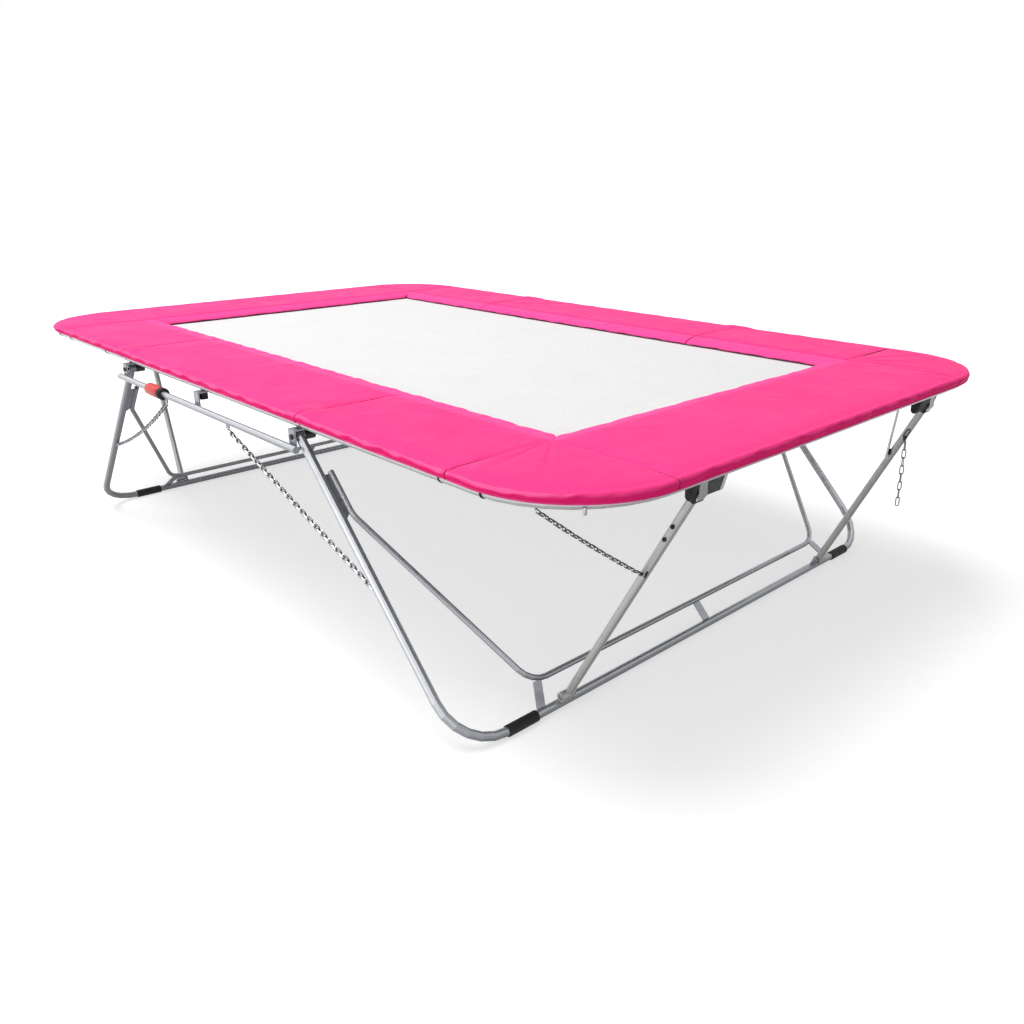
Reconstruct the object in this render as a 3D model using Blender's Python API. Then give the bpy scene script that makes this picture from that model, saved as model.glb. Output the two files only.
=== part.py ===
"""Folding gymnastics trampoline on two U-shaped leg frames, in metres, +Z up.

X runs along the length, Y across it. The origin is on the floor under the middle.
The middle section carries everything; an end section folds up and over it from each
end, and each leg frame swings in beneath it with its two braces.
"""

from math import atan2, cos, hypot, pi, radians, sin, tan

import bmesh
import bpy
from mathutils import Matrix, Vector

# Frame tubes
RAIL_HALF_LENGTH = 2.520      # centre of the end rails
RAIL_HALF_WIDTH = 1.500       # centre of the side rails
RAIL_RADIUS = 0.021
RAIL_HEIGHT = 1.125
CORNER_RADIUS = 0.440         # bend of the end sections' corners, at the tube's centre
TUBE_SIDES = 12
CORNER_STEPS = 8
GAP = 0.0003                  # between two pieces that touch
SEAM_GAP = 0.0006             # between two pads or bed panels, each side of their seam

# Bed and springs
END_SPRING_SPAN = 0.390       # from the rail's centre to the bed
SIDE_SPRING_SPAN = 0.435
BED_HALF_LENGTH = RAIL_HALF_LENGTH - END_SPRING_SPAN
BED_HALF_WIDTH = RAIL_HALF_WIDTH - SIDE_SPRING_SPAN
BED_THICKNESS = 0.006
WEB_WIDTH = 0.030             # sewn webbing round the bed that takes the spring hooks
WEB_THICKNESS = 0.012
SPRING_WIDTH = 0.014
SPRING_PITCH = 0.110
SPRING_END_MARGIN = 0.055

# Pads
PAD_RISE = 0.040              # from the rail's centre to the pad's top
PAD_TOP = RAIL_HEIGHT + PAD_RISE
PAD_OVERHANG = 0.043          # from the rail's centre to the pad's outer face
PAD_SKIRT_DROP = 0.006
PAD_SKIRT_BOTTOM = RAIL_HEIGHT - PAD_SKIRT_DROP
PAD_CHAMFER = 0.012
PAD_CHANNEL_CLEARANCE = 0.0015
PAD_OVER_SPRINGS = 0.0015
PAD_UNDERSIDE = RAIL_HEIGHT + WEB_THICKNESS / 2 + PAD_OVER_SPRINGS
END_PAD_OVER_BED = 0.230
SIDE_PAD_OVER_BED = 0.100
OPENING_HALF_LENGTH = BED_HALF_LENGTH - END_PAD_OVER_BED
OPENING_HALF_WIDTH = BED_HALF_WIDTH - SIDE_PAD_OVER_BED
CORNER_PAD_LENGTH = 0.560     # from the seam to the rail's centre
CORNER_PAD_WIDTH = 0.450
CORNER_SEAM_X = RAIL_HALF_LENGTH - CORNER_PAD_LENGTH
CORNER_SEAM_Y = RAIL_HALF_WIDTH - CORNER_PAD_WIDTH

# Fold of the end sections
HINGE_X = 0.960
HINGE_ABOVE_PAD = 0.002
HINGE_HEIGHT = PAD_TOP + HINGE_ABOVE_PAD
RAIL_JOINT_GAP = 0.005        # from the hinge line to the end of a side rail
KNUCKLE_RADIUS = 0.010
HINGE_PLATE = 0.006
HINGE_PLATE_GAP = 0.0011
HINGE_INSET = 0.0295          # from the side rail's centre to the middle of the knuckle
HINGE_BLOCK = 0.040
HINGE_BLOCK_HEIGHT = 0.030
HINGE_PIN_RADIUS = 0.005
PIN_CLEARANCE = 0.0006
PAD_NOTCH_HALF_LENGTH = 0.052
PAD_NOTCH_MARGIN = 0.005

# Leg frames, whose pivots lie beside the ends of the middle section's rails
LEG_PIVOT_INSET = 0.030       # from the hinge line
LEG_PIVOT_DROP = 0.053        # from the rail's centre
LEG_OFFSET = 0.011            # outward of the side rails
FLOOR_BAR_INSET = 0.580       # from the end rail's centre
LEG_PIVOT_X = HINGE_X - LEG_PIVOT_INSET
LEG_PIVOT_HEIGHT = RAIL_HEIGHT - LEG_PIVOT_DROP
LEG_HALF_WIDTH = RAIL_HALF_WIDTH + LEG_OFFSET
FLOOR_BAR_X = RAIL_HALF_LENGTH - FLOOR_BAR_INSET
LEG_RADIUS = 0.019
LEG_BEND = 0.220
LEG_EYE_RADIUS = 0.0205       # round end that the pivot bolt goes through
LEG_EYE_WIDTH = 0.036
LEG_PIN_RADIUS = 0.006
LEG_PIN_HEAD = 0.011
LEG_PIN_HEAD_LENGTH = 0.007
FOOT_RADIUS = 0.0235
FOOT_LENGTH = 0.155
FOOT_OUT = LEG_HALF_WIDTH - LEG_BEND - 0.001

# Inner tube of a leg frame, welded in by gussets and struts
INNER_RADIUS = 0.0125
INNER_TUBE_GAP = 0.020        # between the inner and the outer tube where they run together
INNER_TOP = 0.190             # along the leg from its pivot
INNER_TURN = 0.400
INNER_BAR_BACK = 0.125        # from the floor bar
INNER_CORNER_INSET = 0.434    # from the leg's tube
INNER_BEND = 0.120
INNER_HALF_WIDTH = LEG_HALF_WIDTH - LEG_RADIUS - INNER_TUBE_GAP - INNER_RADIUS
INNER_CORNER_WIDTH = LEG_HALF_WIDTH - INNER_CORNER_INSET
GUSSET_PLATE = 0.005
STRUT_WIDTH = 0.045
STRUT_PLATE = 0.006
STRUT_OUT = INNER_CORNER_WIDTH - 0.027
STRUT_SPLAY = 0.055           # how much further out a side strut's foot is than its top

# Lower side rails and what hangs them, outboard of the legs
LOWER_RAIL_RADIUS = 0.015
LOWER_RAIL_OFFSET = 0.060     # outward of the side rails
LOWER_RAIL_DROP = 0.095
LOWER_RAIL_BEYOND = 0.055     # past the leg pivots
LOWER_RAIL_OUT = RAIL_HALF_WIDTH + LOWER_RAIL_OFFSET
LOWER_RAIL_HEIGHT = RAIL_HEIGHT - LOWER_RAIL_DROP
LOWER_RAIL_HALF_LENGTH = LEG_PIVOT_X + LOWER_RAIL_BEYOND
HANGER_WIDTH = 0.050
HANGER_PLATE = 0.007
KNOB_RADIUS = 0.0215
KNOB_LENGTH = 0.043
KNOB_CLEARANCE = 0.0015       # from a leg's tube
BUFFER_LENGTH = 0.032         # hangs above a folded leg
CHAIN_LUG_X = 0.350
CHAIN_LUG_WIDTH = 0.030
CHAIN_LUG_DROP = 0.018
RED_SLEEVE_RADIUS = 0.029
RED_SLEEVE_X = -0.465
RED_SLEEVE_LENGTH = 0.190

# Braces, from the floor bars to the end rails
BRACE_RADIUS = 0.017
BRACE_SLEEVE_RADIUS = 0.022
BRACE_SLEEVE_BORE = 0.0125
BRACE_SLEEVE_LENGTH = 0.060
BRACE_SLEEVE_INSET = 0.496    # from the leg's tube to the sleeve's outer end
BRACE_SLEEVE_OUT = LEG_HALF_WIDTH - BRACE_SLEEVE_INSET
BRACE_FOOT_OUT = BRACE_SLEEVE_OUT - 0.043
BRACE_SPLAY = 0.102           # how much further out its foot is than its hook
BRACE_LEAN = 0.018            # pivot outboard of the floor bar's centre
BRACE_CLEARANCE = 0.0015      # to the floor bar, all the way round as it turns
BRACE_PIN_RADIUS = 0.0115
BRACE_LUG_PLATE = 0.010
BRACE_LUG_WIDTH = 0.030
HOOK_OUT = BRACE_FOOT_OUT - BRACE_SPLAY
HOOK_WIDTH = 0.034
HOOK_PLATE = 0.005
HOOK_TIP = 0.018
HOOK_CLEARANCE = 0.0005

# Bars under the end rails that the braces carry
CRADLE_BAR_RADIUS = 0.010
CRADLE_BACK = 0.033           # from the end rail's centre
CRADLE_DROP = 0.073
CRADLE_INNER = HOOK_OUT - 0.136
CRADLE_OUTER = HOOK_OUT + 0.039
CRADLE_PLATE = 0.006
CRADLE_PLATE_RADIUS = 0.015
CRADLE_RUBBER = 0.016

# Chains
CHAIN_RADIUS = 0.010
CHAIN_SEAT = 0.0092           # from the middle of a chain's end to what it hooks on
CHAIN_HOOK_ALONG = 0.720      # along the leg from its pivot
LEG_CHAIN_SAG = {1: 0.004, -1: 0.035}
CORNER_CHAIN_ALONG = 0.650    # share of the brace's length
CORNER_CHAIN_TURN = 30.0      # degrees round the frame's corner
CORNER_CHAIN_SAG = 0.008
LOOSE_CHAIN_ALONG = 0.815
LOOSE_CHAIN_LENGTH = 0.330


def finish(red, green, blue, roughness, metallic):
    return (red, green, blue, 1.0), roughness, metallic


FINISHES = {
    "galvanised": finish(0.60, 0.61, 0.63, 0.35, 0.9),
    "dark_steel": finish(0.30, 0.31, 0.33, 0.40, 0.9),
    "spring_steel": finish(0.55, 0.56, 0.58, 0.30, 1.0),
    "vinyl": finish(1.00, 0.08, 0.30, 0.45, 0.0),
    "bed_cloth": finish(0.80, 0.80, 0.79, 0.80, 0.0),
    "rubber": finish(0.02, 0.02, 0.02, 0.70, 0.0),
    "red_plastic": finish(0.85, 0.10, 0.08, 0.40, 0.0),
}


def clear_scene():
    for item in list(bpy.data.objects):
        bpy.data.objects.remove(item)


def material(slot):
    made = bpy.data.materials.get(slot)
    if made:
        return made
    colour, roughness, metallic = FINISHES[slot]
    made = bpy.data.materials.new(slot)
    made.use_nodes = True
    shader = made.node_tree.nodes["Principled BSDF"]
    shader.inputs["Base Color"].default_value = colour
    shader.inputs["Roughness"].default_value = roughness
    shader.inputs["Metallic"].default_value = metallic
    return made


def pivot(name, location):
    """An empty on a joint's axis, which the pieces of its body are parented to."""
    empty = bpy.data.objects.new(name, None)
    empty.location = location
    bpy.context.scene.collection.objects.link(empty)
    return empty


def add(name, mesh, slot, body=None, smooth=True):
    piece = bpy.data.objects.new(name, mesh)
    bpy.context.scene.collection.objects.link(piece)
    mesh.materials.append(material(slot))
    if smooth:
        mesh.shade_smooth()
        mesh.set_sharp_from_angle(angle=radians(35))
    if body:
        piece.parent = body
        piece.matrix_parent_inverse = Matrix.Translation(-body.location)
    return piece


def mesh_of(name, build):
    made = bmesh.new()
    build(made)
    bmesh.ops.recalc_face_normals(made, faces=made.faces)
    mesh = bpy.data.meshes.new(name)
    made.to_mesh(mesh)
    made.free()
    return mesh


def combine(piece, meshes, operation):
    """Join shapes to a piece, or cut them from it, with a Boolean."""
    joined = bmesh.new()
    for mesh in meshes:
        joined.from_mesh(mesh)
    tool_mesh = bpy.data.meshes.new(piece.name + "_tool")
    joined.to_mesh(tool_mesh)
    joined.free()
    tool = bpy.data.objects.new(piece.name + "_tool", tool_mesh)
    bpy.context.scene.collection.objects.link(tool)
    tool.hide_render = True
    tool.display_type = "WIRE"
    step = piece.modifiers.new(operation.lower(), "BOOLEAN")
    step.operation = operation
    step.object = tool
    step.use_self = len(meshes) > 1


def weld(piece, *meshes):
    combine(piece, meshes, "UNION")


def cut(piece, *meshes):
    combine(piece, meshes, "DIFFERENCE")


def keep_within(piece, mesh):
    combine(piece, [mesh], "INTERSECT")


def filleted(corners, radius, steps):
    """A path through corners, its inner ones rounded to a radius."""
    path = [corners[0]]
    for before, corner, after in zip(corners, corners[1:], corners[2:]):
        back = (before - corner).normalized()
        ahead = (after - corner).normalized()
        turn = back.angle(ahead)
        reach = radius / tan(turn / 2)
        centre = corner + (back + ahead).normalized() * (radius / sin(turn / 2))
        start = corner + back * reach - centre
        axis = back.cross(ahead)
        sweep = pi - turn
        for k in range(steps + 1):
            spin = Matrix.Rotation(-sweep * k / steps, 3, axis)
            path.append(centre + spin @ start)
    return path + [corners[-1]]


def tube(path, radius, sides=TUBE_SIDES, bore=0.0, normal=None):
    """A round bar along a path in one plane, or a tube with an open bore.

    Its flat sides lie at the radius, so that what seats on it meets them.
    """
    flat = normal or Vector((0, 0, 1))
    to_corner = 1 / cos(pi / sides)
    tangents = [
        (path[min(k + 1, len(path) - 1)] - path[max(k - 1, 0)]).normalized()
        for k in range(len(path))
    ]

    def build(made):
        rings = []
        for point, tangent in zip(path, tangents):
            side = tangent.cross(flat).normalized()
            up = side.cross(tangent).normalized()
            for size in (radius, bore) if bore else (radius,):
                rings.append([
                    made.verts.new(point + (side * cos(a) + up * sin(a)) * size * to_corner)
                    for a in (2 * pi * (k + 0.5) / sides for k in range(sides))
                ])
        skins = 2 if bore else 1
        for skin in range(skins):
            skin_rings = rings[skin::skins]
            for one, two in zip(skin_rings, skin_rings[1:]):
                for k in range(sides):
                    n = (k + 1) % sides
                    made.faces.new((one[k], one[n], two[n], two[k]))
        if bore:
            for outer, inner in ((rings[0], rings[1]), (rings[-2], rings[-1])):
                for k in range(sides):
                    n = (k + 1) % sides
                    made.faces.new((outer[k], outer[n], inner[n], inner[k]))
        else:
            made.faces.new(rings[0])
            made.faces.new(rings[-1])

    return mesh_of("tube", build)


def across(x, z, y_from, y_to, radius, sides=TUBE_SIDES, bore=0.0):
    """A round bar or ring along Y."""
    path = [Vector((x, y_from, z)), Vector((x, y_to, z))]
    return tube(path, radius, sides, bore)


def prism(outline, depth):
    """A closed solid from an outline of points, swept by a vector."""
    def build(made):
        near = [made.verts.new(p) for p in outline]
        far = [made.verts.new(p + depth) for p in outline]
        made.faces.new(near)
        made.faces.new(far)
        for k in range(len(outline)):
            n = (k + 1) % len(outline)
            made.faces.new((near[k], near[n], far[n], far[k]))

    return mesh_of("prism", build)


def box(x, y, z):
    """A block between pairs of coordinates."""
    outline = [Vector((x[0], y[0], z[0])), Vector((x[1], y[0], z[0])),
               Vector((x[1], y[1], z[0])), Vector((x[0], y[1], z[0]))]
    return prism(outline, Vector((0, 0, z[1] - z[0])))


def plate(outline, y_from, y_to):
    """A plate standing in the XZ plane, from (x, z) points."""
    points = [Vector((x, y_from, z)) for x, z in outline]
    return prism(points, Vector((0, y_to - y_from, 0)))


def rounded_rectangle(half_x, half_y, radius, height):
    """Points round a rectangle, anticlockwise from its +X side."""
    points = []
    for quarter, (sx, sy) in enumerate(((1, 1), (-1, 1), (-1, -1), (1, -1))):
        centre = Vector((sx * (half_x - radius), sy * (half_y - radius), height))
        for k in range(CORNER_STEPS + 1):
            angle = (quarter + k / CORNER_STEPS) * pi / 2
            points.append(centre + Vector((cos(angle), sin(angle), 0)) * radius)
    return points


def rail_outline(offset, height):
    """The frame's outline, set out from the rail's centre by an offset."""
    return rounded_rectangle(
        RAIL_HALF_LENGTH + offset, RAIL_HALF_WIDTH + offset, CORNER_RADIUS + offset, height
    )


def loft(outlines):
    """A closed solid through outlines with equal numbers of points."""
    def build(made):
        rings = [[made.verts.new(p) for p in outline] for outline in outlines]
        for one, two in zip(rings, rings[1:]):
            for k in range(len(one)):
                n = (k + 1) % len(one)
                made.faces.new((one[k], one[n], two[n], two[k]))
        made.faces.new(rings[0])
        made.faces.new(rings[-1])

    return mesh_of("loft", build)


def side_word(side):
    return "left" if side < 0 else "right"


def end_word(end):
    return "front" if end > 0 else "rear"


def hull_of_circles(first, second, radius, steps=6):
    """The outline round two circles of one radius, as (x, z) points."""
    heading = atan2(second[1] - first[1], second[0] - first[0])
    points = []
    for centre, start in ((second, heading - pi / 2), (first, heading + pi / 2)):
        for k in range(steps + 1):
            angle = start + pi * k / steps
            points.append((centre[0] + radius * cos(angle), centre[1] + radius * sin(angle)))
    return points


# The fold hinges: two ears on the middle section and a tongue on the end section
KNUCKLE_Y = RAIL_HALF_WIDTH - HINGE_INSET
BLOCK_TOP = RAIL_HEIGHT + HINGE_BLOCK_HEIGHT / 2
BLOCK_BOTTOM = RAIL_HEIGHT - HINGE_BLOCK_HEIGHT / 2


def hinge_layer(end, toward, side, inner, outer):
    """One hinge plate: from its block on a rail up to the knuckle on the axis."""
    near = end * HINGE_X + toward * RAIL_JOINT_GAP
    far = near + toward * HINGE_BLOCK
    axis = end * HINGE_X
    outline = [(far, BLOCK_BOTTOM), (near, BLOCK_BOTTOM), (near, HINGE_HEIGHT - KNUCKLE_RADIUS)]
    for k in range(7):
        angle = -pi / 2 - toward * pi * k / 6
        outline.append((axis + KNUCKLE_RADIUS * cos(angle), HINGE_HEIGHT + KNUCKLE_RADIUS * sin(angle)))
    outline.append((axis + toward * KNUCKLE_RADIUS, HINGE_HEIGHT))
    outline.append((far, BLOCK_TOP))
    return plate(outline, side * inner, side * outer)


def hinge_block(end, toward, side):
    near = end * HINGE_X + toward * RAIL_JOINT_GAP
    far = near + toward * HINGE_BLOCK
    reach = HINGE_PLATE * 1.5 + HINGE_PLATE_GAP
    return box(
        sorted((near, far)),
        sorted((side * (KNUCKLE_Y - reach), side * (RAIL_HALF_WIDTH - RAIL_RADIUS / 2))),
        (BLOCK_BOTTOM, BLOCK_TOP),
    )


def hinge_bore(end, side):
    reach = 3 * HINGE_PLATE
    return across(
        end * HINGE_X, HINGE_HEIGHT, side * KNUCKLE_Y - reach, side * KNUCKLE_Y + reach,
        HINGE_PIN_RADIUS + PIN_CLEARANCE,
    )


def middle_side_rails():
    for side in (-1, 1):
        y = side * RAIL_HALF_WIDTH
        reach = HINGE_X - RAIL_JOINT_GAP
        path = [Vector((-reach, y, RAIL_HEIGHT)), Vector((reach, y, RAIL_HEIGHT))]
        rail = add(f"side_rail_{side_word(side)}", tube(path, RAIL_RADIUS), "galvanised")
        ears = []
        for end in (-1, 1):
            ears.append(hinge_block(end, -end, side))
            for layer in (-1, 1):
                inner = KNUCKLE_Y + layer * (HINGE_PLATE + HINGE_PLATE_GAP) - HINGE_PLATE / 2
                ears.append(hinge_layer(end, -end, side, inner, inner + HINGE_PLATE))
        weld(rail, *ears)
        cut(rail, *(hinge_bore(end, side) for end in (-1, 1)))
        for end in (-1, 1):
            reach = HINGE_PLATE * 1.5 + HINGE_PLATE_GAP + 0.0005
            pin = across(
                end * HINGE_X, HINGE_HEIGHT, side * KNUCKLE_Y - reach, side * KNUCKLE_Y + reach,
                HINGE_PIN_RADIUS,
            )
            add(f"fold_pin_{end_word(end)}_{side_word(side)}", pin, "dark_steel")


def end_frame(end, body):
    """The U of tube round one end, with the hinge tongues on its two ends."""
    start = HINGE_X + RAIL_JOINT_GAP
    corners = [
        Vector((end * start, -RAIL_HALF_WIDTH, RAIL_HEIGHT)),
        Vector((end * RAIL_HALF_LENGTH, -RAIL_HALF_WIDTH, RAIL_HEIGHT)),
        Vector((end * RAIL_HALF_LENGTH, RAIL_HALF_WIDTH, RAIL_HEIGHT)),
        Vector((end * start, RAIL_HALF_WIDTH, RAIL_HEIGHT)),
    ]
    path = filleted(corners, CORNER_RADIUS, CORNER_STEPS)
    frame = add(f"end_frame_{end_word(end)}", tube(path, RAIL_RADIUS), "galvanised", body)
    for side in (-1, 1):
        inner = KNUCKLE_Y - HINGE_PLATE / 2
        tongue = hinge_layer(end, end, side, inner, inner + HINGE_PLATE)
        web = box(
            sorted((end * (start + 0.012), end * (start + HINGE_BLOCK))),
            sorted((side * (inner + HINGE_PLATE / 2), side * (RAIL_HALF_WIDTH - RAIL_RADIUS / 2))),
            (BLOCK_BOTTOM, BLOCK_TOP),
        )
        weld(frame, tongue, web)
    cut(frame, *(hinge_bore(end, side) for side in (-1, 1)))


def comb(points, name, body=None):
    outline = [Vector((x, y, RAIL_HEIGHT - WEB_THICKNESS / 2)) for x, y in points]
    add(name, prism(outline, Vector((0, 0, WEB_THICKNESS))), "spring_steel", body, smooth=False)


def teeth(start, stop):
    """Centres of the springs along a run, at even steps near the pitch."""
    count = max(1, round((stop - start) / SPRING_PITCH))
    return [start + (stop - start) * k / count for k in range(count + 1)]


def middle_springs():
    web_in = BED_HALF_WIDTH + GAP
    web_out = web_in + WEB_WIDTH
    reach = RAIL_HALF_WIDTH - RAIL_RADIUS - GAP
    half = HINGE_X - RAIL_JOINT_GAP
    for side in (-1, 1):
        points = [(-half, side * web_in), (-half, side * web_out)]
        for x in teeth(-half + SPRING_END_MARGIN, half - SPRING_END_MARGIN):
            low, high = x - SPRING_WIDTH / 2, x + SPRING_WIDTH / 2
            points += [(low, side * web_out), (low, side * reach), (high, side * reach), (high, side * web_out)]
        points += [(half, side * web_out), (half, side * web_in)]
        comb(points, f"springs_middle_{side_word(side)}")


def end_springs(end, body):
    """The springs round three sides of the end section's bed panel."""
    side_in = BED_HALF_WIDTH + GAP
    side_out = side_in + WEB_WIDTH
    end_in = BED_HALF_LENGTH + GAP
    end_out = end_in + WEB_WIDTH
    side_reach = RAIL_HALF_WIDTH - RAIL_RADIUS - GAP
    end_reach = RAIL_HALF_LENGTH - RAIL_RADIUS - GAP
    start = HINGE_X + RAIL_JOINT_GAP
    along = teeth(start + SPRING_END_MARGIN, RAIL_HALF_LENGTH - CORNER_RADIUS - SPRING_WIDTH)
    limit = min(RAIL_HALF_WIDTH - CORNER_RADIUS, side_in) - SPRING_WIDTH
    over = teeth(-limit, limit)
    half = SPRING_WIDTH / 2
    points = [(start, -side_in), (start, -side_out)]
    for x in along:
        points += [(x - half, -side_out), (x - half, -side_reach), (x + half, -side_reach), (x + half, -side_out)]
    points.append((end_out, -side_out))
    for y in over:
        points += [(end_out, y - half), (end_reach, y - half), (end_reach, y + half), (end_out, y + half)]
    points.append((end_out, side_out))
    for x in reversed(along):
        points += [(x + half, side_out), (x + half, side_reach), (x - half, side_reach), (x - half, side_out)]
    points += [(start, side_out), (start, side_in), (end_in, side_in), (end_in, -side_in)]
    comb([(end * x, y) for x, y in points], f"springs_{end_word(end)}", body)


def bed_panel(name, x_from, x_to, body=None):
    half = BED_THICKNESS / 2
    panel = box(
        (x_from, x_to), (-BED_HALF_WIDTH, BED_HALF_WIDTH), (RAIL_HEIGHT - half, RAIL_HEIGHT + half)
    )
    add(name, panel, "bed_cloth", body, smooth=False)


def pad_ring():
    """The whole ring of padding, before it is divided at its seams."""
    chamfer = PAD_CHAMFER
    return loft([
        rail_outline(PAD_OVERHANG, PAD_SKIRT_BOTTOM),
        rail_outline(PAD_OVERHANG, PAD_TOP - chamfer),
        rail_outline(PAD_OVERHANG - chamfer, PAD_TOP),
    ])


def pad_hollows():
    """What is taken out from under the padding: the rail's channel and the springs' space."""
    below = PAD_SKIRT_BOTTOM - 0.02
    side = RAIL_RADIUS + PAD_CHANNEL_CLEARANCE
    channel_top = RAIL_HEIGHT + RAIL_RADIUS + GAP
    channel = loft([rail_outline(side, below), rail_outline(side, channel_top)])
    core = loft([rail_outline(-side, PAD_UNDERSIDE), rail_outline(-side, channel_top + 0.02)])
    return channel, core


def pad(name, x, y, notches=(), body=None, yields=None):
    """One pad of the ring: the part over a rectangle, less what a neighbour takes."""
    piece = add(name, pad_ring(), "vinyl", body, smooth=False)
    channel, core = pad_hollows()
    tool = bpy.data.objects.new(name + "_channel_tool", channel)
    bpy.context.scene.collection.objects.link(tool)
    tool.hide_render = True
    tool.display_type = "WIRE"
    cut(tool, core)
    step = piece.modifiers.new("channel", "BOOLEAN")
    step.operation = "DIFFERENCE"
    step.object = tool
    opening = box(
        (-OPENING_HALF_LENGTH, OPENING_HALF_LENGTH), (-OPENING_HALF_WIDTH, OPENING_HALF_WIDTH),
        (PAD_SKIRT_BOTTOM - 0.1, PAD_TOP + 0.1),
    )
    cut(piece, opening)
    keep_within(piece, box(x, y, (PAD_SKIRT_BOTTOM - 0.05, PAD_TOP + 0.05)))
    if yields:
        cut(piece, box(*yields, (PAD_SKIRT_BOTTOM - 0.05, PAD_TOP + 0.05)))
    reach = 1.5 * HINGE_PLATE + HINGE_PLATE_GAP + PAD_NOTCH_MARGIN
    for hinge_x, side in notches:
        room = box(
            (hinge_x - PAD_NOTCH_HALF_LENGTH, hinge_x + PAD_NOTCH_HALF_LENGTH),
            (side * KNUCKLE_Y - reach, side * KNUCKLE_Y + reach),
            (PAD_SKIRT_BOTTOM - 0.05, PAD_TOP + 0.05),
        )
        cut(piece, room)


def pads(end, body):
    beyond_x = RAIL_HALF_LENGTH + 0.2
    beyond_y = RAIL_HALF_WIDTH + 0.2
    for side in (-1, 1):
        word = side_word(side)
        y_side = sorted((side * (OPENING_HALF_WIDTH - 0.05), side * beyond_y))
        x_side = sorted((end * (HINGE_X + SEAM_GAP), end * (CORNER_SEAM_X - SEAM_GAP)))
        yields = (
            sorted((end * (OPENING_HALF_LENGTH - SEAM_GAP), end * beyond_x)),
            sorted((side * (OPENING_HALF_WIDTH - 0.1), side * (CORNER_SEAM_Y + SEAM_GAP))),
        )
        name = f"pad_side_{end_word(end)}_{word}"
        pad(name, x_side, y_side, [(end * HINGE_X, side)], body, yields)
        x_corner = sorted((end * (CORNER_SEAM_X + SEAM_GAP), end * beyond_x))
        y_corner = sorted((side * (CORNER_SEAM_Y + SEAM_GAP), side * beyond_y))
        pad(f"pad_corner_{end_word(end)}_{word}", x_corner, y_corner, body=body)
    x_end = sorted((end * OPENING_HALF_LENGTH, end * beyond_x))
    reach = CORNER_SEAM_Y - SEAM_GAP
    pad(f"pad_end_{end_word(end)}", x_end, (-reach, reach), body=body)


def middle_pads():
    reach = HINGE_X - SEAM_GAP
    for side in (-1, 1):
        y = sorted((side * (OPENING_HALF_WIDTH - 0.05), side * (RAIL_HALF_WIDTH + 0.2)))
        notches = [(-HINGE_X, side), (HINGE_X, side)]
        pad(f"pad_middle_{side_word(side)}", (-reach, reach), y, notches)


# The hanger plates stand between the legs' tubes and the lower rails
HANGER_IN = LOWER_RAIL_OUT - LOWER_RAIL_RADIUS - HANGER_PLATE + 0.001
HANGER_OUT = HANGER_IN + HANGER_PLATE
HANGER_TOP = RAIL_HEIGHT - RAIL_RADIUS - GAP


def lower_rails():
    """A lower rail each side, on three hangers that its leg pivots and stop share."""
    for side in (-1, 1):
        y = side * LOWER_RAIL_OUT
        path = [Vector((-LOWER_RAIL_HALF_LENGTH, y, LOWER_RAIL_HEIGHT)),
                Vector((LOWER_RAIL_HALF_LENGTH, y, LOWER_RAIL_HEIGHT))]
        rail = add(f"lower_rail_{side_word(side)}", tube(path, LOWER_RAIL_RADIUS), "galvanised")
        shapes = []
        half = HANGER_WIDTH / 2
        for x in (-LEG_PIVOT_X, 0.0, LEG_PIVOT_X):
            span = (x - half, x + half)
            shapes.append(box(
                span, sorted((side * HANGER_IN, side * HANGER_OUT)),
                (LOWER_RAIL_HEIGHT - LOWER_RAIL_RADIUS / 2, HANGER_TOP),
            ))
            shapes.append(box(
                span, sorted((side * (RAIL_HALF_WIDTH - 0.01), side * (HANGER_OUT - 0.001))),
                (HANGER_TOP - HANGER_PLATE, HANGER_TOP - 0.0001),
            ))
        for x in (-CHAIN_LUG_X, CHAIN_LUG_X):
            shapes.append(box(
                (x - CHAIN_LUG_WIDTH / 2, x + CHAIN_LUG_WIDTH / 2), (y - 0.003, y + 0.003),
                (LOWER_RAIL_HEIGHT - LOWER_RAIL_RADIUS - CHAIN_LUG_DROP, LOWER_RAIL_HEIGHT),
            ))
        weld(rail, *shapes)
        bores = []
        for x in (-LEG_PIVOT_X, LEG_PIVOT_X):
            bores.append(across(
                x, LEG_PIVOT_HEIGHT, *sorted((side * (HANGER_IN - 0.01), side * (HANGER_OUT + 0.002))),
                LEG_PIN_RADIUS + PIN_CLEARANCE,
            ))
        cut(rail, *bores)
        under = HANGER_TOP - HANGER_PLATE - GAP
        ends = [Vector((0, side * LEG_HALF_WIDTH, z)) for z in (under, under - BUFFER_LENGTH)]
        add(f"buffer_{side_word(side)}", tube(ends, KNOB_RADIUS, 16, normal=Vector((1, 0, 0))), "rubber")
        for end in (-1, 1):
            leg_pin(end, side)


def leg_pin(end, side):
    """The bolt that a leg turns on: its round knob is inboard of the leg, its nut outside the hanger."""
    outer = LEG_HALF_WIDTH - LEG_RADIUS - KNOB_CLEARANCE
    x = end * LEG_PIVOT_X
    reach = HANGER_OUT + GAP + LEG_PIN_HEAD_LENGTH
    shank = across(
        x, LEG_PIVOT_HEIGHT, *sorted((side * (outer - 0.004), side * (reach - 0.001))), LEG_PIN_RADIUS
    )
    pin = add(f"leg_pin_{end_word(end)}_{side_word(side)}", shank, "rubber")
    knob = across(
        x, LEG_PIVOT_HEIGHT, *sorted((side * (outer - KNOB_LENGTH), side * outer)), KNOB_RADIUS, 16
    )
    nut = across(x, LEG_PIVOT_HEIGHT, *sorted((side * (HANGER_OUT + GAP), side * reach)), LEG_PIN_HEAD)
    weld(pin, knob, nut)


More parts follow.
